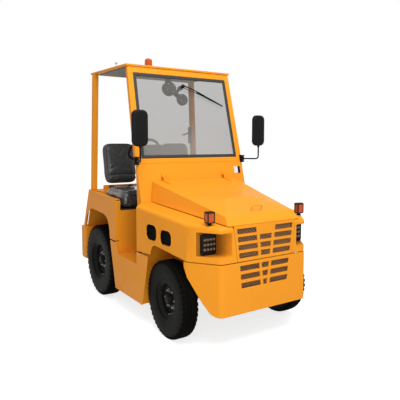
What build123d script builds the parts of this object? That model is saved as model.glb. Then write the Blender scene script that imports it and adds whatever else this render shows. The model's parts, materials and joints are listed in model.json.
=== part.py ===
from build123d import *
import os
from math import cos, hypot, radians, sin

# An airport baggage tug: an open-sided tow tractor with an engine under a front hood,
# two seats, a fixed windscreen and a thin roof on four posts.
# Millimetres. X runs across (the driver's side is -X), Y runs from the nose (-Y) to the
# tow hitch (+Y), Z runs up from the ground. X = 0 is the middle of the vehicle, and Y = 0
# is the middle of its length.

# Sheet and gaps
SHEET = 5.0
SEAM = 6.0
SEAT_GAP = 0.3

# Wheels
FRONT_AXLE_Y = -694.0
REAR_AXLE_Y = 602.0
FRONT_TYRE_R = 300.0
REAR_TYRE_R = 340.0
FRONT_TYRE_W = 132.0
REAR_TYRE_W = 156.0
FRONT_TYRE_OUTER_X = 598.0
REAR_TYRE_OUTER_X = 634.0
FRONT_RIM_R = 127.0
REAR_RIM_R = 158.0
RIM_SHEET = 8.0
HUB_R = 46.0
STUB_R = 22.0
BEARING_GAP = 0.05
NUT_COUNT = 6
NUT_R = 11.0
NUT_H = 14.0

# Steering
KINGPIN_X = 448.0
KINGPIN_R = 14.0
STEER_ARM = 110.0
ARM_T = 16.0
FORK_HALF = 26.0
TIE_ROD_R = 11.0
TIE_PIN_R = 8.0

# Body width, floor and heights
HALF_WIDTH = 628.0
GROUND_CLEAR = 172.0
STEP_Z = 490.0
FIREWALL_Y = -352.0
FIREWALL_TOP_Z = 800.0
BULKHEAD_Y = -294.0
FRONT_SEAM_Z = 638.0
MID_SEAM_Z = 598.0
BUMPER_LOW_Z = 256.0
HOUSE_Z = 712.0

# Nose in plan: the side tapers to a crease, then runs diagonally to a flat front
SIDE_REAR_Y = -276.0
CREASE_X = 548.0
CREASE_Y = -946.0
NOSE_X = 394.0
NOSE_Y = -1164.0
NOSE_ROUND = 60.0
SHOULDER_ROUND = 34.0
NOSE_TOP_Z = 1100.0
BUMPER_WALL = 12.0
BUMPER_EDGE_TOP = (-905.0, 600.0)
BUMPER_EDGE_MID = (-1033.0, 365.0)
BUMPER_EDGE_LOW = (-1106.0, BUMPER_LOW_Z)
BUMPER_EDGE_ROUND = 90.0

# Top of the front fenders, a plane that falls towards the nose
SHOULDER_REAR_Y = -210.0
SHOULDER_REAR_Z = 987.0
SHOULDER_FRONT_Y = -1150.0
SHOULDER_FRONT_Z = 903.0

# Hood: plan of its lower edge and corners of its faceted top
HOOD_REAR_X = 463.0
HOOD_FRONT_X = 338.0
HOOD_FRONT_Y = -1158.0
HOOD_REST = 24.0
HOOD_TOP_REAR = (427.0, -173.5, 1157.0)
HOOD_TOP_BEND = (380.0, -580.0, 1072.0)
HOOD_TOP_INNER = (126.0, -840.0, 1060.0)
HOOD_TOP_LIP = (322.0, -1102.0, 967.0)
HANDLE_Y = -1046.0
HANDLE_W = 96.0
HANDLE_H = 35.0
HANDLE_R = 5.0
HANDLE_BEND = 12.0

# Windscreen plane: foot of the glass, and how far it leans back per unit of height
GLASS_LOW_Y = -118.0
GLASS_LOW_Z = 1349.0
GLASS_TOP_Z = 2090.0
SCREEN_LEAN = 0.252
GLASS_LOW_X = 497.0
GLASS_TOP_X = 484.0
PILLAR_TOP_X = 532.0
PILLAR_LOW_X = 556.0
PILLAR_T = 42.0
FRAME_LOW_Z = 1305.0
FRAME_TOP_Z = 2144.0
COWL_LOW_Z = 940.0
COWL_X = 553.0
COWL_FOOT_X = 598.0
COWL_REAR_LOW_Y = -140.0
COWL_REAR_TOP_Y = -112.0
SEAL_W = 26.0
SEAL_T = 12.0
GLASS_T = 6.0

# Roof and rear posts
ROOF_LOW_Z = FRAME_TOP_Z + SEAT_GAP
ROOF_T = 18.0
ROOF_TOP_Z = ROOF_LOW_Z + ROOF_T
ROOF_FRONT_Y = 74.0
ROOF_REAR_Y = 875.0
ROOF_FRONT_X = 545.0
ROOF_REAR_X = 572.0
POST_W = 50.0
POST_Y = 806.0
POST_LOW_X = 584.0
POST_TOP_X = 548.0
LATCH_Z = (1470.0, 1650.0)
LATCH_T = 24.0

# Rear body
REAR_TOP_Z = 1010.0
REAR_FACE_Y = 1004.0
REAR_BEND_Y = 836.0
REAR_SEAM_Z = 632.0
BENCH_FRONT_Y = 150.0
BENCH_FOOT_Y = 178.0
BENCH_Z = 878.0
BENCH_REAR_Y = 600.0
FENDER_BAND = 40.0
LID_X = 500.0
LID_Y = (724.0, 776.0)
LID_H = 42.0
BLOCK_FRONT_Y = 958.0
BLOCK_REAR_Y = 1084.0
BLOCK_LOW_Z = 284.0
BLOCK_TOP_Z = 618.0

# Seats
PAN_H = 12.0
CUSHION_H = 166.0
CUSHION_FRONT_Y = 132.0
CUSHION_REAR_Y = 590.0
BACK_LOW_Z = 1056.0
BACK_TOP_Z = 1486.0
BACK_T = 96.0
BACK_FOOT_Y = 640.0
BACK_LEAN = 10.0

# Frame and axles
RAIL_X = 280.0
RAIL_W = 60.0
RAIL_LOW_Z = 392.0
RAIL_H = 84.0
FRAME_FRONT_Y = NOSE_Y + BUMPER_WALL
CROSS_T = 60.0
BEAM_H = 60.0
AXLE_TUBE_R = 44.0
DIFF_R = 96.0
ENGINE_W = 400.0
ENGINE_FRONT_Y = -1060.0
ENGINE_REAR_Y = -470.0
ENGINE_LOW_Z = 430.0
ENGINE_TOP_Z = 880.0

# Tow hitch: stacked jaws with one pin hole through them
HITCH_Y = 1132.0
HITCH_PIN_R = 17.0
HITCH_PLATE_T = 22.0
HITCH_W = 130.0
HITCH_REACH = 38.0
HITCH_LEVELS = (330.0, 405.0, 480.0, 555.0)
HITCH_BACK_T = 20.0

# Steering column and wheel
COLUMN_LEAN = 42.0
COLUMN_R = 24.0
COLUMN_TOP = (-368.0, 120.0, 1417.0)
COLUMN_LENGTH = 250.0
WHEEL_R = 150.0
WHEEL_TUBE_R = 13.0

# Dashboard
DASH_X = 500.0

# Lamps
LAMP_X = 480.0
LAMP_LOW_Z = 694.0
LAMP_W = 122.0
LAMP_H = 148.0
MARKER_X = 429.0
MARKER_Y = -1060.0
MARKER_W = 64.0
MARKER_T = 52.0
MARKER_H = 84.0
BEACON_R = 34.0
BEACON_H = 84.0
BEACON_AT = (-270.0, 200.0)

SCREEN_LENGTH = hypot(1.0, SCREEN_LEAN)
FRONT_SLOPE = (SHOULDER_REAR_Z - SHOULDER_FRONT_Z) / (SHOULDER_REAR_Y - SHOULDER_FRONT_Y)

SIDE_PLANE = Plane(origin=(0, 0, 0), x_dir=(0, 1, 0), z_dir=(1, 0, 0))
FRONT_PLANE = Plane(origin=(0, 0, 0), x_dir=(1, 0, 0), z_dir=(0, -1, 0))
SCREEN_PLANE = Plane(origin=(0, GLASS_LOW_Y, GLASS_LOW_Z), x_dir=(1, 0, 0),
                     z_dir=(0, -1.0, SCREEN_LEAN))


# Plain shapes

def slab(plane, points, start, end):
    """A polygon on a plane, thick from start to end along the plane's normal."""
    face = plane.offset(start) * make_face(Polyline(*points, close=True))
    return extrude(face, end - start)


def box(x, y, z):
    """A box from three ranges."""
    size = (x[1] - x[0], y[1] - y[0], z[1] - z[0])
    return Pos((x[0] + x[1]) / 2, (y[0] + y[1]) / 2, (z[0] + z[1]) / 2) * Box(*size)


def side_slab(points, x0, x1):
    """A (y, z) outline, thick across the vehicle."""
    return slab(SIDE_PLANE, points, x0, x1)


def front_slab(points, y0, y1):
    """An (x, z) outline, thick along the vehicle."""
    return slab(FRONT_PLANE, points, -y1, -y0)


def plan_slab(points, z0, z1):
    """An (x, y) outline, thick upwards."""
    return slab(Plane.XY, points, z0, z1)


def rod(start, end, radius):
    """A round bar between two points."""
    start, end = Vector(*start), Vector(*end)
    axis = end - start
    return extrude(Plane(origin=start, z_dir=axis) * Circle(radius), axis.length)


def tube_path(points, radius, bend):
    """A round bar along straight runs with rounded corners."""
    path = FilletPolyline(*points, radius=bend)
    start = Plane(origin=path @ 0, z_dir=path % 0)
    return sweep(start * Circle(radius), path=path)


def mirrored(shape):
    """The same shape on the other side of the vehicle."""
    return mirror(shape, about=Plane.YZ)


def bent_sheet(points, thickness, x0, x1):
    """A sheet that follows a (y, z) line, with its thickness on the right of the line."""
    inner = []
    for i, point in enumerate(points):
        before = points[max(i - 1, 0)]
        after = points[min(i + 1, len(points) - 1)]
        one = unit_normal(before, point) if i else unit_normal(point, after)
        two = unit_normal(point, after) if i < len(points) - 1 else one
        scale = thickness / (1.0 + one[0] * two[0] + one[1] * two[1])
        inner.append((point[0] + (one[0] + two[0]) * scale, point[1] + (one[1] + two[1]) * scale))
    return side_slab(list(points) + inner[::-1], x0, x1)


def unit_normal(start, end):
    """The right-hand normal of a line from start to end."""
    run = (end[0] - start[0], end[1] - start[1])
    length = hypot(*run)
    return (run[1] / length, -run[0] / length)


# Shared surfaces

def shoulder_z(y):
    """Height of the fender top at a place along the vehicle."""
    return SHOULDER_REAR_Z + FRONT_SLOPE * (y - SHOULDER_REAR_Y)


def hood_edge_x(y):
    """Half width of the hood's lower edge at a place along the vehicle."""
    share = (SHOULDER_REAR_Y - y) / (SHOULDER_REAR_Y - HOOD_FRONT_Y)
    return HOOD_REAR_X - (HOOD_REAR_X - HOOD_FRONT_X) * share


def screen_y(z):
    """Where the windscreen's outer plane lies at a height."""
    return GLASS_LOW_Y + SCREEN_LEAN * (z - GLASS_LOW_Z)


def screen_s(z):
    """Distance along the windscreen plane for a height."""
    return (z - GLASS_LOW_Z) * SCREEN_LENGTH


def pillar_x(z):
    """Outer half width of the windscreen frame at a height."""
    share = (z - FRAME_LOW_Z) / (FRAME_TOP_Z - FRAME_LOW_Z)
    return PILLAR_LOW_X + (PILLAR_TOP_X - PILLAR_LOW_X) * share


def nose_sketch(inset):
    """The nose in plan, moved in by a wall thickness."""
    half = [(0, SIDE_REAR_Y), (-HALF_WIDTH, SIDE_REAR_Y), (-CREASE_X, CREASE_Y),
            (-NOSE_X, NOSE_Y), (0, NOSE_Y)]
    outline = half + [(-x, y) for x, y in half[-2:0:-1]]
    face = make_face(Polyline(*outline, close=True))
    corners = face.vertices().sort_by(Axis.Y)[:2]
    face = fillet(corners, NOSE_ROUND)
    return offset(face, -inset) if inset else face


def nose_prism(inset, z0, z1):
    """The nose as a solid between two heights."""
    return extrude(Pos(0, 0, z0) * nose_sketch(inset), z1 - z0)


def under_shoulder(drop):
    """Everything below the fender top, lowered by a sheet's thickness."""
    y0, y1 = NOSE_Y - 100, SIDE_REAR_Y + 200
    points = [(y0, 0), (y1, 0), (y1, shoulder_z(y1) - drop), (y0, shoulder_z(y0) - drop)]
    return side_slab(points, -2 * HALF_WIDTH, 2 * HALF_WIDTH)


# Front body

def nose_block(inset, z0):
    """The front body as a solid with a rounded shoulder, moved in by a wall thickness."""
    y1 = SIDE_REAR_Y + 60 if inset else SIDE_REAR_Y
    block = nose_prism(inset, z0, NOSE_TOP_Z)
    if inset:
        block += Pos(0, 60, 0) * nose_prism(inset, z0, NOSE_TOP_Z)
    block = block & under_shoulder(inset)
    crown = [edge for edge in block.edges()
             if abs(edge.center().Z - shoulder_z(edge.center().Y) + inset) < 1 and edge.center().Y < y1 - 10]
    return fillet(crown, SHOULDER_ROUND - inset)


def upper_shell():
    """Fenders, nose and their top as one hollow skin, open below and at the back."""
    return nose_block(0, FRONT_SEAM_Z - 200) - nose_block(SHEET, FRONT_SEAM_Z - 300)


def lower_cut():
    """What the front wheel arch and the seam take off the upper skin."""
    arch = [(-2000, 0), (SIDE_REAR_Y + 400, 0), (SIDE_REAR_Y + 400, MID_SEAM_Z + SEAM),
            (-472, MID_SEAM_Z + SEAM), (-482, 640), (-500, 672), (-524, 688), (-556, 690),
            (-932, FRONT_SEAM_Z + 4), (-2000, FRONT_SEAM_Z + 4)]
    return side_slab(arch, -2 * HALF_WIDTH, 2 * HALF_WIDTH)


def hood_opening(gap):
    """The hole that the hood closes, seen from above."""
    rear, front = SHOULDER_REAR_Y + 200, HOOD_FRONT_Y + HOOD_REST
    points = [(-hood_edge_x(rear) - gap, rear), (-hood_edge_x(front) - gap, front),
              (hood_edge_x(front) + gap, front), (hood_edge_x(rear) + gap, rear)]
    return plan_slab(points, shoulder_z(HOOD_FRONT_Y) - 60, 1300)


def grille_zone(gap):
    """The middle of the nose, between the two slanted seams."""
    low, high = 257 + gap, 294 + gap
    points = [(-low, FRONT_SEAM_Z), (low, FRONT_SEAM_Z), (high, 900), (high, 1000),
              (-high, 1000), (-high, 900)]
    return front_slab(points, NOSE_Y - 50, NOSE_Y + 60)


def lamp_pocket():
    """The opening for the right headlamp, round the corner of the nose."""
    zone = box((-506, -306), (NOSE_Y - 40, -1000), (688, 860))
    return zone


VENTS = [  # centre y, centre z, length, height
    (-489.0, 785.0, 160.0, 132.0),
    (-682.0, 768.0, 160.0, 128.0),
]


def vent_holes():
    """Rounded openings in the fender side."""
    holes = []
    for y, z, length, height in VENTS:
        face = Pos(y, z) * RectangleRounded(length, height, 48)
        holes.append(extrude(SIDE_PLANE.offset(-HALF_WIDTH - 50) * face, 200))
    return holes


def front_fender():
    """The right front fender with its lamp opening and vents."""
    shell = upper_shell() - lower_cut()
    half = box((-2 * HALF_WIDTH, 0), (-2000, 200), (0, 1200))
    shell = shell & half
    shell = shell - grille_zone(SEAM / 4) - hood_opening(SEAM / 2)
    shell = shell - lamp_pocket()
    for hole in vent_holes():
        shell -= hole
    return largest(shell)


def largest(shape):
    """The biggest solid of a shape, without the crumbs of a cut."""
    return max(shape.solids(), key=lambda solid: solid.volume)


SLOT_SLANT = 0.107
UPPER_SLOTS = [  # centre z, height, inner x, outer x, half width of the middle slot
    (862.0, 38.0, 89.0, 262.0, 0.0),
    (804.0, 38.0, 82.0, 256.0, 56.0),
    (745.0, 38.0, 75.0, 250.0, 50.0),
    (686.0, 38.0, 69.0, 243.0, 44.0),
]
LOWER_SLOTS = [
    (590.0, 40.0, 55.0, 232.0, 34.0),
    (527.0, 40.0, 49.0, 226.0, 26.0),
    (463.0, 40.0, 43.0, 220.0, 18.0),
]


def slot_cutters(rows):
    """Slanted slots through the front, the same on both sides."""
    cutters = []
    for z, height, inner, outer, middle in rows:
        rise = height / 2
        lean = SLOT_SLANT * rise
        points = [(inner - lean, z - rise), (outer - lean, z - rise),
                  (outer + lean, z + rise), (inner + lean, z + rise)]
        right = front_slab(points, NOSE_Y - 40, NOSE_Y + 60)
        cutters += [right, mirrored(right)]
        if middle:
            cutters.append(front_slab([(-middle + lean, z - rise), (middle - lean, z - rise),
                                       (middle + lean, z + rise), (-middle - lean, z + rise)],
                                      NOSE_Y - 40, NOSE_Y + 60))
    return cutters


def grille_panel():
    """The slotted plate between the headlamps, with a flange under the hood's lip."""
    outer = nose_prism(0, FRONT_SEAM_Z - 200, NOSE_TOP_Z) & under_shoulder(0)
    inner = nose_prism(SHEET, FRONT_SEAM_Z - 300, NOSE_TOP_Z) & under_shoulder(SHEET)
    panel = (outer - inner - lower_cut() - hood_opening(SEAM / 2)) & grille_zone(-SEAM / 4)
    for cutter in slot_cutters(UPPER_SLOTS):
        panel -= cutter
    return largest(panel)


def grille_mesh():
    """Perforated sheets behind the slots of the grille panel and the bumper."""
    back = NOSE_Y + BUMPER_WALL
    upper = box((-272, 272), (NOSE_Y + SHEET, NOSE_Y + SHEET + 3), (648, 892))
    lower = box((-245, 245), (back, back + 3), (430, 622))
    return Compound([upper, lower])


def bumper():
    """The heavy plate round the lower nose, cut away round the front wheels."""
    z1 = FRONT_SEAM_Z - 2
    outer = nose_prism(0, BUMPER_LOW_Z, z1)
    inner = nose_prism(BUMPER_WALL, BUMPER_LOW_Z - 10, z1 + 10)
    shell = outer - inner
    kept = [(NOSE_Y - 50, z1 + 20), (BUMPER_EDGE_TOP[0], z1 + 20), BUMPER_EDGE_TOP,
            BUMPER_EDGE_MID, BUMPER_EDGE_LOW, (NOSE_Y - 50, BUMPER_LOW_Z)]
    kept = side_slab(kept, -2 * HALF_WIDTH, 2 * HALF_WIDTH)
    bends = [kept.edges().filter_by(Axis.X).sort_by_distance((0, *corner))[0]
             for corner in (BUMPER_EDGE_MID, BUMPER_EDGE_LOW)]
    shell &= fillet(bends, BUMPER_EDGE_ROUND)
    for cutter in slot_cutters(LOWER_SLOTS):
        shell -= cutter
    return largest(shell)


def wheelhouse():
    """Sheet over and inside the right front wheel."""
    wall_x = RAIL_X + RAIL_W / 2 + SHEET
    span = (-985, FIREWALL_Y - 1)
    wall = box((-wall_x, -wall_x + SHEET), span, (RAIL_LOW_Z + RAIL_H, HOUSE_Z))
    roof = nose_prism(SHEET + SEAT_GAP, HOUSE_Z - SHEET, HOUSE_Z)
    return wall + (roof & box((-2 * HALF_WIDTH, -wall_x), span, (0, 900)))


# Hood

def hood_points(shrink):
    """Corners of the faceted hood on the right side, moved in for the inside."""
    rear_y = screen_y(SHOULDER_REAR_Z) - SEAM - 1
    low_rear = (hood_edge_x(rear_y) - shrink, rear_y, shoulder_z(rear_y) + 2)
    front_y = HOOD_FRONT_Y + shrink
    low_front = (hood_edge_x(front_y) - shrink, front_y, shoulder_z(front_y) + 2)
    return low_rear, low_front


def hood_block(shrink):
    """The hood's outer form as a solid of flat facets."""
    drop = shrink
    rx, ry, rz = HOOD_TOP_REAR
    bx, by, bz = HOOD_TOP_BEND
    ix, iy, iz = HOOD_TOP_INNER
    lx, ly, lz = HOOD_TOP_LIP
    (ax, ay, az), (cx, cy, cz) = hood_points(shrink)
    low = shrink * 4
    right = {
        "rear_low": (-ax, ay, az - low), "front_low": (-cx, cy, cz - low),
        "rear_top": (-rx + shrink, ry, rz - drop), "bend": (-bx + shrink, by, bz - drop),
        "inner": (-ix, iy, iz - drop), "lip": (-lx + shrink, ly + shrink, lz - drop),
    }
    left = {name: (-x, y, z) for name, (x, y, z) in right.items()}
    faces = [
        [right["rear_low"], left["rear_low"], left["front_low"], right["front_low"]],
        [right["rear_low"], right["rear_top"], left["rear_top"], left["rear_low"]],
        [right["front_low"], right["lip"], left["lip"], left["front_low"]],
        [right["inner"], right["lip"], left["lip"], left["inner"]],
        [right["bend"], right["inner"], left["inner"], left["bend"]],
        [right["rear_top"], right["bend"], left["bend"], left["rear_top"]],
    ]
    for side in (right, left):
        faces += [
            [side["bend"], side["inner"], side["lip"]],
            [side["rear_low"], side["rear_top"], side["bend"]],
            [side["rear_low"], side["bend"], side["lip"]],
            [side["rear_low"], side["lip"], side["front_low"]],
        ]
    return solid_from(faces)


def solid_from(faces):
    """A closed solid from flat polygons, with those that aren't flat split."""
    made = []
    for points in faces:
        if len(points) == 4 and not is_flat(points):
            made += [flat_face(points[:3]), flat_face([points[0], points[2], points[3]])]
        else:
            made.append(flat_face(points))
    return Solid(Shell(made))


def flat_face(points):
    """One polygon in space."""
    return Face(Wire.make_polygon([Vector(*point) for point in points], close=True))


def is_flat(points):
    """Whether four points lie in one plane."""
    a, b, c, d = (Vector(*point) for point in points)
    normal = (b - a).cross(c - a).normalized()
    return abs(normal.dot(d - a)) < 0.001


def hood():
    """The hood as a folded sheet."""
    shell = hood_block(0) - hood_block(SHEET)
    return largest(shell)


def hood_handle():
    """A bent bar to lift the hood by, square to the hood's front slope."""
    rise, run = HOOD_TOP_INNER[2] - HOOD_TOP_LIP[2], HOOD_TOP_INNER[1] - HOOD_TOP_LIP[1]
    slope = rise / run
    up = Vector(0, -slope, 1).normalized()
    foot = Vector(0, HANDLE_Y, HOOD_TOP_LIP[2] + slope * (HANDLE_Y - HOOD_TOP_LIP[1])) + up * SEAT_GAP
    top = foot + up * HANDLE_H
    half = Vector(HANDLE_W / 2, 0, 0)
    return tube_path([foot - half, top - half, top + half, foot + half], HANDLE_R, HANDLE_BEND)


# Screen, cowl and roof

def screen_slab(points, out, back):
    """An (x, z) outline on the windscreen plane, from a distance out to one behind it."""
    flat = [(x, screen_s(z)) for x, z in points]
    return slab(SCREEN_PLANE, flat, -back, out)


def screen_opening(inset):
    """Corners of the glass opening, moved in."""
    low, top = GLASS_LOW_X - inset, GLASS_TOP_X - inset
    z0, z1 = GLASS_LOW_Z + inset, GLASS_TOP_Z - inset
    return [(-low, z0), (low, z0), (top, z1), (-top, z1)]


def screen_frame():
    """The closed square tube round the windscreen."""
    low, top = pillar_x(FRAME_LOW_Z), pillar_x(FRAME_TOP_Z)
    outline = [(-low, FRAME_LOW_Z), (low, FRAME_LOW_Z), (top, FRAME_TOP_Z), (-top, FRAME_TOP_Z)]
    ring = screen_slab(outline, 0, PILLAR_T)
    return ring - screen_slab(screen_opening(0), 20, PILLAR_T + 20)


def screen_seal():
    """The rubber that holds the glass."""
    ring = screen_slab(screen_opening(SEAT_GAP), 2, SEAL_T)
    ring -= screen_slab(screen_opening(SEAL_W), 20, SEAL_T + 20)
    return ring - screen_slab(screen_opening(SEAL_W / 2), -2, 2 + GLASS_T)


def screen_glass():
    """The windscreen itself."""
    sheet = screen_slab(screen_opening(SEAL_W / 2 + SEAT_GAP), -2 - SEAT_GAP, 2 + GLASS_T - SEAT_GAP)
    px, pz = WIPER_PIN
    return sheet - rod(on_screen(px, pz, -60), on_screen(px, pz, 60), WIPER_SPINDLE_R + 2)


def cowl():
    """The bent sheet under the windscreen, with its side walls and the flange at its foot."""
    z0, z1 = COWL_LOW_Z, FRAME_LOW_Z
    x1 = COWL_X - SHEET
    foot_y, foot_z = screen_y(SHOULDER_REAR_Z), SHOULDER_REAR_Z - SHEET
    rear_z = z1 - SCREEN_LEAN * (COWL_REAR_TOP_Y - screen_y(z1)) - SEAT_GAP
    side = [(screen_y(z0), z0), (COWL_REAR_LOW_Y, z0), (COWL_REAR_TOP_Y, rear_z),
            (screen_y(z1), z1 - SEAT_GAP)]
    shell = side_slab(side, -COWL_X, COWL_X)
    back = SHEET * SCREEN_LENGTH
    shell -= side_slab([(screen_y(z0 - 10) + back, z0 - 10), (0, z0 - 10), (0, z1 + 10),
                        (screen_y(z1 + 10) + back, z1 + 10)], -x1, x1)
    shell -= box((-x1, x1), (foot_y - 100, foot_y + 100), (0, foot_z))
    front = SIDE_REAR_Y + SEAT_GAP
    flange = plan_slab([(-COWL_FOOT_X, front), (COWL_FOOT_X, front), (COWL_X, foot_y + 3),
                        (-COWL_X, foot_y + 3)], foot_z - 40, NOSE_TOP_Z)
    return shell + ((flange & under_shoulder(0)) - under_shoulder(SHEET))


def roof():
    """The thin roof with a turned-down edge."""
    outline = [(-ROOF_FRONT_X, ROOF_FRONT_Y), (ROOF_FRONT_X, ROOF_FRONT_Y),
               (ROOF_REAR_X, ROOF_REAR_Y), (-ROOF_REAR_X, ROOF_REAR_Y)]
    return plan_slab(outline, ROOF_LOW_Z, ROOF_TOP_Z)


def post_latch():
    """A latch block with its lever on the inner face of the left rear post."""
    z = (LATCH_Z[0] + LATCH_Z[1]) / 2
    share = (z - REAR_TOP_Z) / (ROOF_LOW_Z - REAR_TOP_Z)
    face_x = POST_LOW_X + (POST_TOP_X - POST_LOW_X) * share - POST_W / 2
    block = box((face_x - LATCH_T, face_x + LATCH_T / 2), (POST_Y - 18, POST_Y + 18), LATCH_Z)
    lever = rod((face_x - LATCH_T / 2, POST_Y, z + 30), (face_x - LATCH_T - 90, POST_Y - 20, z), 8)
    return block + lever


def rear_posts():
    """Two square posts from the rear fenders to the roof."""
    half = POST_W / 2
    z0, z1 = REAR_TOP_Z + SEAT_GAP, ROOF_LOW_Z
    points = [(-POST_LOW_X - half, z0), (-POST_LOW_X + half, z0),
              (-POST_TOP_X + half, z1), (-POST_TOP_X - half, z1)]
    post = front_slab(points, POST_Y - half, POST_Y + half)
    return Compound([post, mirrored(post) + post_latch()])


# Lower middle

def side_plate():
    """The right lower plate with the step cut into its top, and its return behind the front wheel."""
    top = MID_SEAM_Z - SEAM
    points = [(-480, top), (SIDE_REAR_Y + 8, top), (SIDE_REAR_Y + 8, STEP_Z), (115, STEP_Z),
              (168, top), (297, top), (185, GROUND_CLEAR), (-372, GROUND_CLEAR)]
    plate = side_slab(points, -HALF_WIDTH, -HALF_WIDTH + SHEET)
    rail_side = -RAIL_X - RAIL_W / 2 - SEAT_GAP
    back = box((-HALF_WIDTH + 1, rail_side), (FIREWALL_Y, FIREWALL_Y + SHEET), (GROUND_CLEAR, STEP_Z - SHEET - SEAT_GAP))
    return plate + back


def floor_pan():
    """The floor, the wall in front of the feet and the bulkhead behind the engine."""
    top = shoulder_z(BULKHEAD_Y) - SHEET - SEAT_GAP
    line = [(BENCH_FOOT_Y - SHEET, STEP_Z - SHEET), (FIREWALL_Y, STEP_Z - SHEET),
            (FIREWALL_Y, FIREWALL_TOP_Z), (BULKHEAD_Y, FIREWALL_TOP_Z), (BULKHEAD_Y, top)]
    inner_x = HALF_WIDTH - SHEET
    sheet = bent_sheet([(y, z) for y, z in line], SHEET, -inner_x, inner_x)
    trim = nose_block(SHEET + SEAT_GAP, RAIL_LOW_Z)
    rear = box((-inner_x, inner_x), (SIDE_REAR_Y - 10, 400), (RAIL_LOW_Z, NOSE_TOP_Z))
    return sheet & (trim + rear)


def rail_frame():
    """Two long rails and the cross members between them."""
    z0, z1 = RAIL_LOW_Z, RAIL_LOW_Z + RAIL_H
    inner, outer = RAIL_X - RAIL_W / 2, RAIL_X + RAIL_W / 2
    frame = box((inner, outer), (FRAME_FRONT_Y, BLOCK_FRONT_Y), (z0, z1))
    frame += mirrored(frame)
    for y in (FRAME_FRONT_Y + SEAM, -400.0, 180.0, BLOCK_FRONT_Y - CROSS_T):
        frame += box((-inner - 1, inner + 1), (y, y + CROSS_T), (z0, z1))
    for y in (-330.0, 100.0):
        frame += box((-HALF_WIDTH + SHEET, HALF_WIDTH - SHEET), (y, y + 50), (z0 + 20, z1))
    return frame


def engine():
    """The engine and gearbox as one block, with its feet on the rails."""
    inner = RAIL_X - RAIL_W / 2
    block = box((-ENGINE_W / 2, ENGINE_W / 2), (ENGINE_FRONT_Y, ENGINE_REAR_Y),
                (ENGINE_LOW_Z, ENGINE_TOP_Z))
    for y in (-960.0, -620.0):
        block += box((-inner, inner), (y, y + 70), (ENGINE_LOW_Z + 10, ENGINE_LOW_Z + 38))
    return block


# Rear body

def fender_outline():
    """The rear fender's (y, z) outline with its wheel arch."""
    top_front = BENCH_FRONT_Y - 12
    return [(BENCH_FOOT_Y, MID_SEAM_Z + SEAM), (top_front, 958), (top_front + 8, 974),
            (top_front + 30, 982), (280, 982), (REAR_BEND_Y, REAR_TOP_Z), (REAR_FACE_Y, REAR_SEAM_Z),
            (REAR_FACE_Y, BLOCK_TOP_Z + 2), (952, BLOCK_TOP_Z + 2), (940, 686), (912, 735), (875, 770), (835, 800), (795, 818), (745, 828),
            (448, 814), (405, 802), (370, 784), (340, 756), (322, 722), (312, 680),
            (300, MID_SEAM_Z + SEAM)]


def rear_fender():
    """The right rear fender: outer skin, top band and inner drop, as one bent sheet."""
    points = fender_outline()
    x0 = -HALF_WIDTH
    x1 = x0 + FENDER_BAND
    body = side_slab(points, x0, x1)
    inner = [(BENCH_FOOT_Y + SHEET, MID_SEAM_Z - 20), (BENCH_FRONT_Y - 12 + SHEET, 974),
             (BENCH_FRONT_Y + 20, 977), (280, 977), (REAR_BEND_Y - 2, REAR_TOP_Z - 5),
             (REAR_FACE_Y - SHEET, REAR_SEAM_Z), (REAR_FACE_Y - SHEET, 0), (BENCH_FOOT_Y + SHEET, 0)]
    body -= side_slab(inner, x0 + SHEET, x1 - SHEET)
    below = [(BENCH_FOOT_Y + SHEET, 0), (BENCH_FOOT_Y + SHEET, BENCH_Z), (2000, BENCH_Z), (2000, 0)]
    body -= side_slab(below, x1 - SHEET - 1, x1 + 1)
    return largest(body)


def bench():
    """The sheet in front of, under and behind the seats."""
    x1 = HALF_WIDTH - FENDER_BAND - SEAT_GAP
    line = [(BENCH_FOOT_Y, STEP_Z - SHEET), (BENCH_FOOT_Y, MID_SEAM_Z), (BENCH_FRONT_Y, BENCH_Z),
            (BENCH_REAR_Y, BENCH_Z), (BENCH_REAR_Y, REAR_TOP_Z)]
    x2 = HALF_WIDTH - SHEET - SEAT_GAP
    return bent_sheet(line, SHEET, -x1, x1) + bent_sheet(line[:2], SHEET, -x2, x2)


def rear_deck():
    """The deck behind the seats, its raised lid and the sloping tail."""
    x1 = HALF_WIDTH - FENDER_BAND - SEAT_GAP
    line = [(BENCH_REAR_Y + SHEET + 1, REAR_TOP_Z), (REAR_BEND_Y, REAR_TOP_Z), (REAR_FACE_Y, REAR_SEAM_Z),
            (REAR_FACE_Y, BLOCK_TOP_Z + SEAT_GAP)]
    lid = box((-LID_X, LID_X), LID_Y, (REAR_TOP_Z - 1, REAR_TOP_Z + LID_H))
    return bent_sheet(line, SHEET, -x1, x1) + lid


def rear_block():
    """The heavy steel block across the tail, which presses the rear wheels down."""
    block = box((-HALF_WIDTH, HALF_WIDTH), (BLOCK_FRONT_Y, BLOCK_REAR_Y), (BLOCK_LOW_Z, BLOCK_TOP_Z))
    edges = block.edges().filter_by(Axis.X).sort_by(Axis.Y)[-2:]
    return chamfer(edges, 14)


def tail_lamps():
    """A rectangular lamp at each end of the tail."""
    lamp = box((-600, -480), (BLOCK_REAR_Y, BLOCK_REAR_Y + 26), (500, 570))
    lamp = fillet(lamp.edges().filter_by(Axis.Y), 8)
    return Compound([lamp, mirrored(lamp)])


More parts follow.
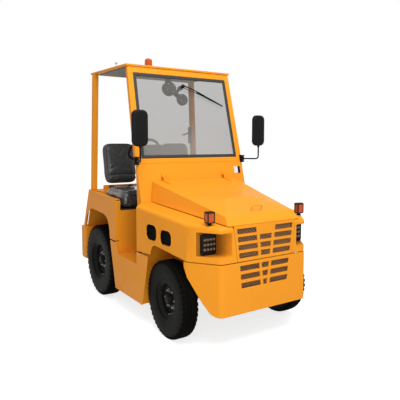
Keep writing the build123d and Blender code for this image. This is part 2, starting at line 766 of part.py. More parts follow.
def hitch():
    """Stacked jaws on a back plate, with one pin hole through them all."""
    half = HITCH_W / 2
    low, high = HITCH_LEVELS[0], HITCH_LEVELS[-1] + HITCH_PLATE_T
    body = box((-half, half), (BLOCK_REAR_Y, BLOCK_REAR_Y + HITCH_BACK_T), (low - 14, high + 14))
    for z in HITCH_LEVELS:
        tongue = box((-half, half), (BLOCK_REAR_Y, HITCH_Y), (z, z + HITCH_PLATE_T))
        tongue += Pos(0, HITCH_Y, z + HITCH_PLATE_T / 2) * Cylinder(HITCH_REACH, HITCH_PLATE_T)
        body += tongue & box((-half, half), (BLOCK_REAR_Y, 2000), (0, 2000))
    return body - Pos(0, HITCH_Y, 450) * Cylinder(HITCH_PIN_R, 600)


# Seats

SEATS = [  # middle x of the back, width of the back, middle x of the cushion, its width
    (-345.0, 356.0, -370.0, 410.0),
    (300.0, 348.0, 330.0, 390.0),
]


def seat_pans():
    """The dark bases of both seats."""
    pans = []
    for _, _, x, width in SEATS:
        half = width / 2 - 12
        pans.append(box((x - half, x + half), (CUSHION_FRONT_Y + 26, CUSHION_REAR_Y - 16),
                        (BENCH_Z, BENCH_Z + PAN_H)))
    return Compound(pans)


def seat_cushions():
    """The two seat cushions."""
    z0 = BENCH_Z + PAN_H + SEAT_GAP
    pads = []
    for _, _, x, width in SEATS:
        pad = box((x - width / 2, x + width / 2), (CUSHION_FRONT_Y, CUSHION_REAR_Y), (z0, z0 + CUSHION_H))
        pads.append(fillet(pad.edges().filter_by(Axis.Z), 40))
    return Compound(pads)


def back_frame_line():
    """Foot and top of the seat back's rear face, as (y, z)."""
    lean = radians(BACK_LEAN)
    height = BACK_TOP_Z - BACK_LOW_Z
    return (BACK_FOOT_Y + BACK_T, BACK_LOW_Z), (BACK_FOOT_Y + BACK_T + height * sin(lean) / cos(lean), BACK_TOP_Z)


def seat_backs():
    """The two seat backs, leaning to the rear."""
    (y0, z0), (y1, z1) = back_frame_line()
    points = [(y0 - BACK_T, z0), (y0, z0), (y1, z1), (y1 - BACK_T, z1)]
    pads = []
    for x, width, _, _ in SEATS:
        pad = side_slab(points, x - width / 2, x + width / 2)
        corners = pad.edges().filter_by(Axis.Y).sort_by(Axis.Z)[-2:]
        pads.append(fillet(corners, 45))
    return Compound(pads)


def seat_hinge_bars():
    """Flat bars that carry each seat back from its base."""
    (y0, z0), _ = back_frame_line()
    bars = []
    foot = [(BENCH_REAR_Y + SHEET + 2, REAR_TOP_Z), (y0 - 20, REAR_TOP_Z),
            (y0 - 20, BACK_LOW_Z - SEAT_GAP), (y0 - 70, BACK_LOW_Z - SEAT_GAP)]
    for x, width, _, _ in SEATS:
        for side in (-1, 1):
            bar_x = x + side * (width / 2 - 76)
            bars.append(side_slab(foot, bar_x - 12, bar_x + 12))
    return Compound(bars)


# Axles and wheels

def front_beam():
    """The front axle beam with a fork for each kingpin."""
    z = FRONT_TYRE_R
    y = FRONT_AXLE_Y
    beam = box((-KINGPIN_X + 56, KINGPIN_X - 56), (y - 34, y + 34), (z - BEAM_H / 2, z + BEAM_H / 2))
    for side in (-1, 1):
        for low in (z - 58, z + 36):
            lug = Pos(side * KINGPIN_X, y, low + 11) * Cylinder(32, 22)
            x0, x1 = sorted((side * KINGPIN_X, side * (KINGPIN_X - 80)))
            lug += box((x0, x1), (y - FORK_HALF, y + FORK_HALF), (low, low + 22))
            beam += lug
        x0, x1 = sorted((side * (KINGPIN_X - 80), side * (KINGPIN_X - 50)))
        beam += box((x0, x1), (y - FORK_HALF, y + FORK_HALF), (z - 58, z + 58))
        beam -= Pos(side * KINGPIN_X, y, z) * Cylinder(KINGPIN_R + BEARING_GAP, 200)
    for side in (-1, 1):
        beam += box((side * RAIL_X - 30, side * RAIL_X + 30), (y - 50, y + 50), (z + BEAM_H / 2, RAIL_LOW_Z))
    return beam


def knuckle():
    """The right steering knuckle: barrel, kingpin, stub and steering arm."""
    z = FRONT_TYRE_R
    y = FRONT_AXLE_Y
    body = Pos(-KINGPIN_X, y, z) * Cylinder(30, 71)
    body += Pos(-KINGPIN_X, y, z) * Cylinder(KINGPIN_R, 128)
    stub_end = -FRONT_TYRE_OUTER_X + 44
    body += rod((-KINGPIN_X, y, z), (stub_end, y, z), STUB_R)
    arm_low = z - ARM_T - 4
    body += box((-KINGPIN_X - 16, -KINGPIN_X + 16), (y, y + STEER_ARM + 14), (arm_low, arm_low + ARM_T))
    body -= Pos(-KINGPIN_X, y + STEER_ARM, z) * Cylinder(TIE_PIN_R + BEARING_GAP, 100)
    return body


def tie_rod():
    """The rod between both steering arms, with a pin in each arm."""
    z = FRONT_TYRE_R - 34
    y = FRONT_AXLE_Y + STEER_ARM
    bar = rod((-KINGPIN_X, y, z), (KINGPIN_X, y, z), TIE_ROD_R)
    for side in (-1, 1):
        bar += Pos(side * KINGPIN_X, y, z) * Cylinder(18, 26)
        bar += Pos(side * KINGPIN_X, y, z + 20) * Cylinder(TIE_PIN_R, 30)
    return bar


def rear_axle():
    """The rear axle tube with its round housing in the middle."""
    y, z = REAR_AXLE_Y, REAR_TYRE_R
    half = REAR_TYRE_OUTER_X - REAR_TYRE_W + 14
    axle = rod((-half, y, z), (half, y, z), AXLE_TUBE_R)
    axle += chamfer(rod((-80, y, z), (80, y, z), DIFF_R).edges(), 30)
    stub = REAR_TYRE_OUTER_X - 50
    axle += rod((-stub, y, z), (stub, y, z), STUB_R)
    for side in (-1, 1):
        axle += box((side * RAIL_X - 30, side * RAIL_X + 30), (y - 50, y + 50), (z + 20, RAIL_LOW_Z))
    return axle


def tyre_profile(radius, rim, width):
    """Half of a tyre's section as (distance from the middle, radius)."""
    return [(width * 0.34, rim + 2), (width * 0.44, rim + (radius - rim) * 0.16),
            (width * 0.50, rim + (radius - rim) * 0.52), (width * 0.47, rim + (radius - rim) * 0.82),
            (width * 0.42, radius - 6), (width * 0.36, radius)]


def tyre(radius, rim, width, x, y):
    """A tyre centred at (x, y) that stands on the ground, open in the middle."""
    half = tyre_profile(radius, rim, width)
    points = half + [(-u, r) for u, r in half[::-1]]
    face = make_face(Polyline(*[(u, r) for u, r in points], close=True))
    ring = revolve(face, Axis.X)
    return Pos(x, y, radius) * ring


def wheel_disc(tyre_r, rim_r, width, x_mid, y, side):
    """A dark pressed wheel with its hub, nuts and bearing hole."""
    bore = STUB_R + BEARING_GAP
    half = width * 0.34
    barrel = Cylinder(rim_r + 1.5, 2 * half) - Cylinder(rim_r - RIM_SHEET, 2 * half + 2)
    disc = Pos(0, 0, half - 46) * Cylinder(rim_r - RIM_SHEET / 2, RIM_SHEET)
    hub = Pos(0, 0, half - 50) * Cylinder(HUB_R, 60)
    cap = Pos(0, 0, half - 16) * Cylinder(HUB_R - 8, 26)
    wheel = barrel + disc + hub + cap
    wheel -= Pos(0, 0, -400 + half - 22) * Cylinder(bore, 800)
    for i in range(NUT_COUNT):
        turn = Rot(0, 0, 360 / NUT_COUNT * i)
        nut = turn * Pos(HUB_R + 22, 0, half - 43) * extrude(RegularPolygon(NUT_R, 6), NUT_H)
        wheel += nut
    return Pos(x_mid, y, tyre_r) * Rot(0, 90 * side, 0) * wheel


WHEELS = [  # name, side, tyre radius, rim radius, width, outer x, y
    ("front_right", -1, FRONT_TYRE_R, FRONT_RIM_R, FRONT_TYRE_W, FRONT_TYRE_OUTER_X, FRONT_AXLE_Y),
    ("front_left", 1, FRONT_TYRE_R, FRONT_RIM_R, FRONT_TYRE_W, FRONT_TYRE_OUTER_X, FRONT_AXLE_Y),
    ("rear_right", -1, REAR_TYRE_R, REAR_RIM_R, REAR_TYRE_W, REAR_TYRE_OUTER_X, REAR_AXLE_Y),
    ("rear_left", 1, REAR_TYRE_R, REAR_RIM_R, REAR_TYRE_W, REAR_TYRE_OUTER_X, REAR_AXLE_Y),
]


# Controls

def column_axis():
    """Unit vector up the steering column."""
    lean = radians(COLUMN_LEAN)
    return Vector(0, sin(lean), cos(lean))


def column_point(along):
    """A point on the steering column, measured from its top."""
    return Vector(*COLUMN_TOP) + column_axis() * along


def steering_column():
    """The column's jacket and its foot on the firewall."""
    start, end = column_point(-COLUMN_LENGTH), column_point(-46)
    jacket = rod(start, end, COLUMN_R)
    return jacket - rod(column_point(-COLUMN_LENGTH - 10), end + column_axis() * 10, STUB_R / 2 + BEARING_GAP)


def steering_wheel():
    """Rim, three spokes, hub and the shaft that turns in the column."""
    plane = Plane(origin=Vector(*COLUMN_TOP), x_dir=(1, 0, 0), z_dir=column_axis())
    ring = plane * Torus(WHEEL_R - WHEEL_TUBE_R, WHEEL_TUBE_R)
    hub = plane * Pos(0, 0, -8) * Cylinder(42, 44)
    wheel = ring + hub + rod(column_point(-COLUMN_LENGTH + 20), column_point(-20), STUB_R / 2)
    for turn in (90, 210, 330):
        spoke = Rot(0, 0, turn) * Pos((WHEEL_R - WHEEL_TUBE_R) / 2, 0, -4) * Box(WHEEL_R - WHEEL_TUBE_R, 26, 10)
        wheel += plane * spoke
    return wheel


def dashboard():
    """The dark dash behind the cowl, with the raised instrument housing round the column."""
    z0, z1 = 1080.0, FRAME_LOW_Z + 18
    y_low = COWL_REAR_TOP_Y + 4
    front_top = screen_y(z1) + PILLAR_T * SCREEN_LENGTH + SEAT_GAP
    points = [(y_low, z0), (-30, z0), (-16, 1180), (-30, z1), (front_top, z1)]
    dash = side_slab(points, -DASH_X, DASH_X) + binnacle()
    return dash - rod(column_point(-COLUMN_LENGTH - SEAT_GAP), column_point(0), COLUMN_R + SEAT_GAP)


def binnacle():
    """The raised instrument housing in front of the driver."""
    z0 = FRAME_LOW_Z + 18
    y0 = screen_y(z0) + PILLAR_T + 8
    return side_slab([(y0, z0), (-30, z0), (-20, 1440), (-36, 1466), (y0 + 30, 1462)], -470, -266)


# Lamps and small pieces on the body

def headlamp():
    """The right headlamp: a square housing in its dark pocket."""
    x0, x1 = -500, -312
    pocket = nose_prism(SHEET + SEAT_GAP, 684, 864) & box((x0 - 10, x1), (NOSE_Y, -1000), (0, 2000))
    pocket -= nose_prism(SHEET + SEAT_GAP - 1, 688, 860) & box((x0, x1 - 4), (NOSE_Y - 10, -1008), (0, 2000))
    lamp = box((-LAMP_X, -LAMP_X + LAMP_W), (-1034, -1006), (LAMP_LOW_Z, LAMP_LOW_Z + LAMP_H))
    return pocket + lamp


def marker_lamp():
    """The right marker lamp on its stalk."""
    z0 = shoulder_z(MARKER_Y + 9) + SEAT_GAP
    stalk = Pos(-MARKER_X, MARKER_Y, z0 + 8) * Cylinder(9, 16)
    lamp = Pos(-MARKER_X, MARKER_Y, z0 + 14 + MARKER_H / 2) * Box(MARKER_W, MARKER_T, MARKER_H)
    return stalk + fillet(lamp.edges(), 8)


def beacon():
    """The warning beacon on the roof."""
    x, y = BEACON_AT
    z0 = ROOF_TOP_Z
    base = Pos(x, y, z0 + 6) * Cylinder(BEACON_R + 6, 12)
    dome = Pos(x, y, z0 + 12 + (BEACON_H - 12) / 2) * Cylinder(BEACON_R, BEACON_H - 12)
    return base + fillet(dome.edges().sort_by(Axis.Z)[-1], 20)


def roof_knobs():
    """Two small aerial mounts on the roof."""
    z0 = ROOF_TOP_Z
    tall = Pos(-520, 350, z0 + 16) * Cylinder(5, 32) + Pos(-520, 350, z0 + 40) * Sphere(13)
    short = Pos(330, 160, z0 + 8) * Cylinder(14, 16)
    return Compound([tall, short])


MIRROR_REACH = [  # name, side, swing pin x, pin y, stem x, stem y
    ("right", -1, 552.0, -150.0, 622.0, -355.0),
    ("left", 1, 552.0, -150.0, 652.0, -262.0),
]
MIRROR_PIN_R = 7.0
MIRROR_Z = 1345.0
MIRROR_LOW = 1455.0
MIRROR_H = 288.0
MIRROR_W = 138.0
MIRROR_T = 34.0


def mirror_bracket(side, pin_x, pin_y):
    """The bracket on the windscreen frame with the mirror's swing pin."""
    x = side * pin_x
    foot = screen_y(MIRROR_Z)
    body = box((x - 20, x + 20), (pin_y + 18, foot + 20), (MIRROR_Z - 50, MIRROR_Z + 20))
    for z in (MIRROR_Z - 46, MIRROR_Z + 8):
        body += box((x - 16, x + 16), (pin_y - 4, foot + 10), (z, z + 12))
        body += Pos(x, pin_y, z + 6) * Cylinder(16, 12)
    body += Pos(x, pin_y, MIRROR_Z - 12) * Cylinder(MIRROR_PIN_R, 60)
    keep = screen_slab([(-700, 1200), (700, 1200), (700, 1500), (-700, 1500)], 80, 0)
    return body & keep


def mirror_arm(side, pin_x, pin_y, stem_x, stem_y):
    """Barrel, arm and stem of one mirror."""
    x0, x1 = side * pin_x, side * stem_x
    arm = tube_path([(x0, pin_y, MIRROR_Z - 14), (x1, stem_y, MIRROR_Z - 14), (x1, stem_y, MIRROR_LOW + 40)], 7, 30)
    arm += Pos(x0, pin_y, MIRROR_Z - 14) * Cylinder(14, 34)
    return arm - Pos(x0, pin_y, MIRROR_Z) * Cylinder(MIRROR_PIN_R + BEARING_GAP, 200)


def mirror_head(side, stem_x, stem_y):
    """The rounded head with its stem socket."""
    z = MIRROR_LOW + MIRROR_H / 2
    head = Pos(side * stem_x, stem_y, z) * Box(MIRROR_W, MIRROR_T, MIRROR_H)
    head = fillet(head.edges().filter_by(Axis.Y), 28)
    socket = Pos(side * stem_x, stem_y, MIRROR_LOW + 20) * Cylinder(7 + SEAT_GAP, 42)
    return head - socket


WIPER_PIN = (-9.0, 1992.0)
WIPER_SPINDLE_R = 6.0
WIPER_TIP = (412.0, 1830.0)
WIPER_HEEL = (135.0, 1944.0)
WIPER_OUT = 10.0
SPINDLE_DEPTH = 34.0


def on_screen(x, z, out):
    """A point at a distance out from the windscreen plane."""
    normal = Vector(0, -1.0, SCREEN_LEAN).normalized()
    return Vector(x, screen_y(z), z) + normal * out


def wiper():
    """The wiper's arm and blade on its spindle."""
    px, pz = WIPER_PIN
    spindle = rod(on_screen(px, pz, -SPINDLE_DEPTH), on_screen(px, pz, WIPER_OUT + 16), WIPER_SPINDLE_R)
    boss = rod(on_screen(px, pz, WIPER_OUT), on_screen(px, pz, WIPER_OUT + 20), 17)
    mid = ((WIPER_TIP[0] + WIPER_HEEL[0]) / 2, (WIPER_TIP[1] + WIPER_HEEL[1]) / 2)
    arm = rod(on_screen(px, pz, WIPER_OUT + 12), on_screen(*mid, WIPER_OUT + 12), 6)
    blade = rod(on_screen(*WIPER_HEEL, WIPER_OUT + 2), on_screen(*WIPER_TIP, WIPER_OUT + 2), 7)
    clip = rod(on_screen(*mid, WIPER_OUT), on_screen(*mid, WIPER_OUT + 16), 8)
    return spindle + boss + arm + blade + clip


def wiper_motor():
    """The round motor housings behind the glass and their bracket to the frame."""
    px, pz = WIPER_PIN
    big = rod(on_screen(-118, 1985, -20), on_screen(-118, 1985, -84), 66)
    small = rod(on_screen(2, 1888, -20), on_screen(2, 1888, -70), 54)
    arm = rod(on_screen(-118, 1985, -44), on_screen(2, 1888, -44), 22)
    boss = rod(on_screen(px, pz, -16), on_screen(px, pz, -60), 20)
    bar = rod(on_screen(px, pz, -48), on_screen(-60, 1940, -48), 14)
    hanger = screen_slab([(-150, 1990), (-90, 1990), (-90, FRAME_TOP_Z - 6), (-150, FRAME_TOP_Z - 6)], -PILLAR_T - 0.3, 54)
    body = big + small + arm + boss + bar + hanger
    bore = rod(on_screen(px, pz, -SPINDLE_DEPTH - SEAT_GAP), on_screen(px, pz, 10), WIPER_SPINDLE_R + BEARING_GAP)
    return body - bore


HINGE_X = 315.0
HINGE_Y = -182.0
HINGE_Z = 1192.0


def hood_hinge_brackets():
    """Two brackets on the cowl, each with its pin."""
    brackets = []
    for x in (-HINGE_X, HINGE_X):
        plate = screen_slab([(x - 18, HINGE_Z - 14), (x + 18, HINGE_Z - 14), (x + 18, HINGE_Z + 46), (x - 18, HINGE_Z + 46)], 6, 0)
        pin = rod((x - 24, HINGE_Y, HINGE_Z), (x + 24, HINGE_Y, HINGE_Z), 5)
        for side in (-1, 1):
            ear = box(sorted((x + side * 14, x + side * 22)), (HINGE_Y - 9, screen_y(HINGE_Z) + 6), (HINGE_Z - 9, HINGE_Z + 9))
            plate += ear
        keep = screen_slab([(-700, 900), (700, 900), (700, 1500), (-700, 1500)], 80, 0)
        brackets.append((plate + pin) & keep)
    return Compound(brackets)


def hood_straps():
    """The hood's half of each hinge: a barrel and a strap along its top."""
    straps = []
    y1, z1 = HOOD_TOP_REAR[1], HOOD_TOP_REAR[2]
    y2, z2 = HOOD_TOP_BEND[1], HOOD_TOP_BEND[2]
    slope = (z1 - z2) / (y1 - y2)
    for x in (-HINGE_X, HINGE_X):
        barrel = rod((x - 13, HINGE_Y, HINGE_Z), (x + 13, HINGE_Y, HINGE_Z), 9)
        near, far = y1 - 10, y1 - 110
        za, zb = z1 + slope * (near - y1), z1 + slope * (far - y1)
        strap = side_slab([(far, zb + 0.3), (near - 4, za + 0.3), (HINGE_Y + 3, HINGE_Z - 6),
                           (HINGE_Y - 8, HINGE_Z + 3), (near - 12, za + 8), (far, zb + 8)], x - 13, x + 13)
        piece = barrel + strap - rod((x - 40, HINGE_Y, HINGE_Z), (x + 40, HINGE_Y, HINGE_Z), 5 + BEARING_GAP)
        straps.append(piece)
    return Compound(straps)


def pedals():
    """Two pedals that hang from the dash."""
    parts = []
    for x in (-400.0, -300.0):
        arm = side_slab([(-110, 1079.7), (-80, 1079.7), (-200, 640), (-226, 640)], x - 8, x + 8)
        pad = side_slab([(-222, 590), (-204, 585), (-190, 655), (-208, 660)], x - 32, x + 32)
        parts.append(arm + pad)
    return Compound(parts)


def levers():
    """The gear and hand-brake levers on the floor between the seats."""
    parts = []
    for x, y in ((-60.0, -30.0), (60.0, 10.0)):
        foot = Pos(x, y, STEP_Z + 12) * Cylinder(28, 24)
        stick = rod((x, y, STEP_Z + 20), (x, y + 60, STEP_Z + 330), 8)
        knob = Pos(x, y + 60, STEP_Z + 340) * Sphere(20)
        parts.append(foot + stick + knob)
    return Compound(parts)


# Build

def nodes():
    """Every piece of the tug by name."""
    fender_right = front_fender()
    house_right = wheelhouse()
    plate_right = side_plate()
    rear_right = rear_fender()
    lamp_right = headlamp()
    marker_right = marker_lamp()
    knuckle_right = knuckle()
    parts = {
        "chassis_frame": rail_frame(),
        "engine_block": engine(),
        "front_bumper": bumper(),
        "grille_panel": grille_panel(),
        "grille_mesh": grille_mesh(),
        "front_fenders": Compound([fender_right, mirrored(fender_right)]),
        "front_lamps": Compound([lamp_right, mirrored(lamp_right), marker_right, mirrored(marker_right)]),
        "cowl_panel": cowl(),
        "windscreen_frame": screen_frame(),
        "windscreen_seal": screen_seal(),
        "windscreen_glass": screen_glass(),
        "roof_panel": roof(),
        "rear_posts": rear_posts(),
        "beacon_and_aerials": Compound([beacon(), *roof_knobs().solids()]),
        "dashboard": dashboard(),
        "driver_controls": Compound([steering_column(), *pedals().solids(), *levers().solids()]),
        "steering_wheel": steering_wheel(),
        "floor_and_wheelhouses": Compound([floor_pan(), house_right, mirrored(house_right)]),
        "side_plates": Compound([plate_right, mirrored(plate_right)]),
        "bench_sheet": bench(),
        "rear_deck": rear_deck(),
        "rear_fenders": Compound([rear_right, mirrored(rear_right)]),
        "rear_block": rear_block(),
        "tail_lamps": tail_lamps(),
        "tow_hitch": hitch(),
        "seat_frames": Compound([*seat_pans().solids(), *seat_hinge_bars().solids()]),
        "seat_cushions": seat_cushions(),
        "seat_backs": seat_backs(),
        "hood_panel": hood(),
        "hood_fittings": Compound([*hood_straps().solids(), hood_handle()]),
        "front_axle": front_beam(),
        "knuckle_right": knuckle_right,
        "knuckle_left": mirrored(knuckle_right),
        "tie_rod": tie_rod(),
        "rear_axle": rear_axle(),
        "wiper_motor": wiper_motor(),
        "wiper": wiper(),
    }
    for name, side, tyre_r, rim_r, width, outer, y in WHEELS:
        x_mid = side * (outer - width / 2)
        parts["tyre_" + name] = tyre(tyre_r, rim_r, width, x_mid, y)
        parts["wheel_" + name] = wheel_disc(tyre_r, rim_r, width, x_mid, y, side)
    brackets = hood_hinge_brackets().solids()
    for name, side, pin_x, pin_y, stem_x, stem_y in MIRROR_REACH:
        brackets.append(mirror_bracket(side, pin_x, pin_y))
        arm = mirror_arm(side, pin_x, pin_y, stem_x, stem_y)
        parts["mirror_" + name] = Compound([arm, mirror_head(side, stem_x, stem_y)])
    parts["hinge_brackets"] = Compound(brackets)
    return parts


os.makedirs("parts", exist_ok=True)
for node, shape in nodes().items():
    export_step(shape, "parts/" + node + ".step")
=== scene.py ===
import json
import math

import bmesh
import bpy
import numpy as np
from mathutils import Matrix, Vector
from mathutils.bvhtree import BVHTree

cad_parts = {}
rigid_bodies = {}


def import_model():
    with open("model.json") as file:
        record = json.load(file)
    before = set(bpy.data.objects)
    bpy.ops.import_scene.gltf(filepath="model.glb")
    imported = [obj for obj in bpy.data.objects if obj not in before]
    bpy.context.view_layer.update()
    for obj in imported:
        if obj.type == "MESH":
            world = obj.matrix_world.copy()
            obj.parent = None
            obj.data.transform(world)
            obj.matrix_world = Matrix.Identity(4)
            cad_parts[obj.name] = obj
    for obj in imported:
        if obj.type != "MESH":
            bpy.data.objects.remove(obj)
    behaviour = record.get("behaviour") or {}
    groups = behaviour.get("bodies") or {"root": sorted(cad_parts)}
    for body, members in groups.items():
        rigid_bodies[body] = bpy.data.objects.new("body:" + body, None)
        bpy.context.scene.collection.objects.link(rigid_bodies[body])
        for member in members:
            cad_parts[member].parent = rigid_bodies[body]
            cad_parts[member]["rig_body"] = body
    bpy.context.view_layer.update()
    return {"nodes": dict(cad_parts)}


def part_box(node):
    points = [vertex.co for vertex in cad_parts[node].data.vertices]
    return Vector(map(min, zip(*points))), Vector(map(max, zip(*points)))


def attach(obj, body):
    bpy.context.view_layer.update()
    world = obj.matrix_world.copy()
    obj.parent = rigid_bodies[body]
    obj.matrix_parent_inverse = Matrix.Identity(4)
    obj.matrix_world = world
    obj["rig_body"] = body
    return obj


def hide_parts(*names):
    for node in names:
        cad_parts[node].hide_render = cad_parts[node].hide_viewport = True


bl_info = {
    "name": "Airport baggage tug",
    "version": (1, 0, 0),
    "blender": (4, 5, 0),
    "location": "View3D > Sidebar > Tug",
    "description": "Dresses the packed frame of a baggage tug with its finishes and fine pieces",
    "category": "Object",
}

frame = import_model()

MM = 0.001
ACROSS, BACK, UP = Vector((1, 0, 0)), Vector((0, 1, 0)), Vector((0, 0, 1))

# The windscreen's outer plane, in millimetres: foot of the glass and lean per unit of height
GLASS_LOW_Y, GLASS_LOW_Z, SCREEN_LEAN = -118.0, 1349.0, 0.252
SCREEN_OUT = Vector((0.0, -1.0, SCREEN_LEAN)).normalized()


def mm(x, y, z):
    """A point given in millimetres."""
    return Vector((x, y, z)) * MM


def on_screen(x, z, out):
    """A point on the windscreen plane, moved out from it, all in millimetres."""
    y = GLASS_LOW_Y + SCREEN_LEAN * (z - GLASS_LOW_Z)
    return mm(x, y, z) + SCREEN_OUT * (out * MM)


def settings():
    """The sizes and colours that a user can change."""
    return bpy.context.scene.tug_settings


# Settings

def colour(name, text, default):
    """A setting that is a colour."""
    return bpy.props.FloatVectorProperty(name=name, description=text, subtype="COLOR", default=default)


def length(name, text, default, low, high):
    """A setting that is a length in metres."""
    return bpy.props.FloatProperty(
        name=name, description=text, unit="LENGTH", default=default, min=low, max=high)


class TugSettings(bpy.types.PropertyGroup):
    """Sizes and colours of the tug's fine pieces."""

    paint: colour("Body paint", "Colour of the sheet metal", (0.83, 0.303, 0.018))
    rubber: colour("Tyre rubber", "Colour of the tyres", (0.0036, 0.0036, 0.0032))
    rim: colour("Wheel paint", "Colour of the wheels", (0.0045, 0.0045, 0.0042))
    metal: colour("Frame metal", "Colour of the frame and the axles", (0.022, 0.021, 0.02))
    plastic: colour("Black plastic", "Colour of mirrors, dash and trim", (0.0065, 0.0065, 0.007))
    vinyl: colour("Seat vinyl", "Colour of the seats", (0.026, 0.0265, 0.0265))
    amber: colour("Amber lens", "Colour of the marker lamps and the beacon", (0.50, 0.075, 0.007))
    strand: colour("Grille strands", "Colour of the mesh behind the slots", (0.78, 0.34, 0.10))
    edge: length("Edge", "Radius of the edges of sheet metal", 0.0014, 0.0, 0.01)
    hood_fold: length("Hood fold", "Width of the soft folds of the hood", 0.012, 0.0, 0.03)
    groove: length("Tyre groove", "Depth of the tread's grooves", 0.009, 0.001, 0.02)
    lug: length("Tyre lug", "Height of the rear tyres' lugs", 0.014, 0.001, 0.03)
    mesh_pitch: length("Mesh pitch", "Width of one diamond of the grille's mesh", 0.030, 0.01, 0.06)
    pipe: length("Piping", "Radius of the seats' piping", 0.0035, 0.001, 0.01)


# Shader maths

class Wire:
    """A node's output that takes part in sums."""

    def __init__(self, nodes, socket):
        self.nodes = nodes
        self.socket = socket

    def __add__(self, other):
        return self.nodes.maths("ADD", self, other)

    def __sub__(self, other):
        return self.nodes.maths("SUBTRACT", self, other)

    def __rsub__(self, other):
        return self.nodes.maths("SUBTRACT", other, self)

    def __mul__(self, other):
        return self.nodes.maths("MULTIPLY", self, other)

    def __abs__(self):
        return self.nodes.wire("ShaderNodeMath", {"operation": "ABSOLUTE"}, {0: self})

    __radd__ = __add__
    __rmul__ = __mul__


class Nodes:
    """The nodes of a material or of the world."""

    def __init__(self, owner):
        owner.use_nodes = True
        self.owner = owner
        self.tree = owner.node_tree
        self.tree.nodes.clear()

    def node(self, kind, settings=None, values=None):
        """A node with its settings, and then the values or links of its sockets."""
        made = self.tree.nodes.new(kind)
        for name, value in (settings or {}).items():
            setattr(made, name, value)
        for name, value in (values or {}).items():
            shown = [socket for socket in made.inputs if socket.enabled]
            socket = shown[name] if isinstance(name, int) else next(s for s in shown if s.name == name)
            if isinstance(value, Wire):
                self.tree.links.new(value.socket, socket)
            else:
                socket.default_value = value
        return made

    def wire(self, kind, settings=None, values=None, output=None):
        """One output of a new node."""
        made = self.node(kind, settings, values)
        shown = [socket for socket in made.outputs if socket.enabled]
        found = shown[0] if output is None else next(s for s in shown if s.name == output)
        return Wire(self, found)

    def maths(self, operation, first, second):
        """A Math node on two numbers or wires."""
        return self.wire("ShaderNodeMath", {"operation": operation}, {0: first, 1: second})

    def seen(self):
        """1 for rays that a viewer sees, straight, in a gloss or through glass, and 0 for light."""
        path = self.node("ShaderNodeLightPath")
        total = Wire(self, path.outputs["Is Camera Ray"])
        for name in ("Is Glossy Ray", "Is Transmission Ray"):
            total = self.maths("MAXIMUM", total, Wire(self, path.outputs[name]))
        return total


class Finish(Nodes):
    """A material and the nodes that make it, in the object's own coordinates."""

    def __init__(self, name):
        super().__init__(bpy.data.materials.new(name))
        self.place = self.wire("ShaderNodeTexCoord", output="Object")

    def scaled(self, x, y, z):
        """The place, stretched by a factor along each axis."""
        return self.wire("ShaderNodeVectorMath", {"operation": "MULTIPLY"}, {0: self.place, 1: (x, y, z)})

    def noise(self, scale, detail=3.0, roughness=0.55, place=None, distortion=0.0):
        """Soft cloudy noise from 0 to 1."""
        return self.wire("ShaderNodeTexNoise", None, {
            "Vector": place or self.place, "Scale": scale, "Detail": detail,
            "Roughness": roughness, "Distortion": distortion})

    def cells(self, scale, feature="F1"):
        """Distance to the points of a cell pattern."""
        return self.wire("ShaderNodeTexVoronoi", {"feature": feature},
                         {"Vector": self.place, "Scale": scale}, "Distance")

    def axis(self, name):
        """One coordinate of the place, in metres."""
        return self.wire("ShaderNodeSeparateXYZ", None, {0: self.place}, name)

    def step(self, value, low, high):
        """A smooth step from 0 at low to 1 at high."""
        return self.wire("ShaderNodeMapRange", {"interpolation_type": "SMOOTHSTEP"},
                         {"Value": value, "From Min": low, "From Max": high})

    def blend(self, share, first, second):
        """A mix of two colours."""
        first = first if isinstance(first, Wire) else (*first, 1.0)
        second = second if isinstance(second, Wire) else (*second, 1.0)
        return self.wire("ShaderNodeMix", {"data_type": "RGBA"},
                         {"Factor": share, "A": first, "B": second})

    def bump(self, height, depth, strength, normal=None):
        """A normal from a height that stands for a depth in metres, over another normal."""
        values = {"Height": height, "Distance": depth, "Strength": strength}
        if normal is not None:
            values["Normal"] = normal
        return self.wire("ShaderNodeBump", None, values)

    def surface(self, colour, roughness, relief=None, metallic=0.0, specular=0.5, coat=None, more=None):
        """Ends the material: relief is a bump's values, coat a weight and a roughness."""
        values = {"Base Color": colour, "Roughness": roughness, "Metallic": metallic,
                  "Specular IOR Level": specular}
        if relief:
            values["Normal"] = self.bump(*relief)
        if coat:
            values["Coat Weight"], values["Coat Roughness"] = coat
        values.update(more or {})
        shader = self.wire("ShaderNodeBsdfPrincipled", None, values)
        self.node("ShaderNodeOutputMaterial", None, {"Surface": shader})
        return self.owner


# Finishes

DUST = (0.30, 0.25, 0.19)


def tinted(colour, factor):
    """A colour made lighter or darker."""
    return tuple(min(1.0, part * factor) for part in colour)


def body_paint(finish, s):
    """Glossy paint with faint orange peel, soft cloudy tone and road dust low down."""
    tone = finish.noise(2.3, 3.0)
    low = finish.step(finish.axis("Z"), 0.66, 0.16)
    dust = low * finish.step(finish.noise(6.0, 6.0), 0.38, 0.74)
    specks = finish.step(finish.noise(95.0, 2.0), 0.70, 0.78) * low
    colour = finish.blend(tone, tinted(s.paint, 0.965), tinted(s.paint, 1.03))
    colour = finish.blend(dust * 0.015 + specks * 0.05, colour, DUST)
    peel = finish.noise(310.0, 2.0) * 0.5 + finish.noise(38.0, 2.0) * 0.5
    return finish.surface(colour, 0.42 + dust * 0.28 + tone * 0.05, (peel, 0.0004, 0.35),
                          specular=0.08, coat=(0.03, 0.10))


def recess_paint(finish, s):
    """Dull body paint with painted shade that darkens it towards the bottom of the lamp's recess, and faint
    uneven grime.
    """
    # Painted shade: deeper into the recess, the paint blends towards the dark brown below. The noise adds a
    # little grime.
    deep = finish.step(finish.axis("Y"), -1.15, -1.02)
    grime = finish.noise(14.0, 5.0)
    colour = finish.blend(deep * 0.55 + grime * 0.1, s.paint[:], (0.085, 0.030, 0.009))
    return finish.surface(colour, 0.5 + grime * 0.2, (grime, 0.0004, 0.35), specular=0.05)


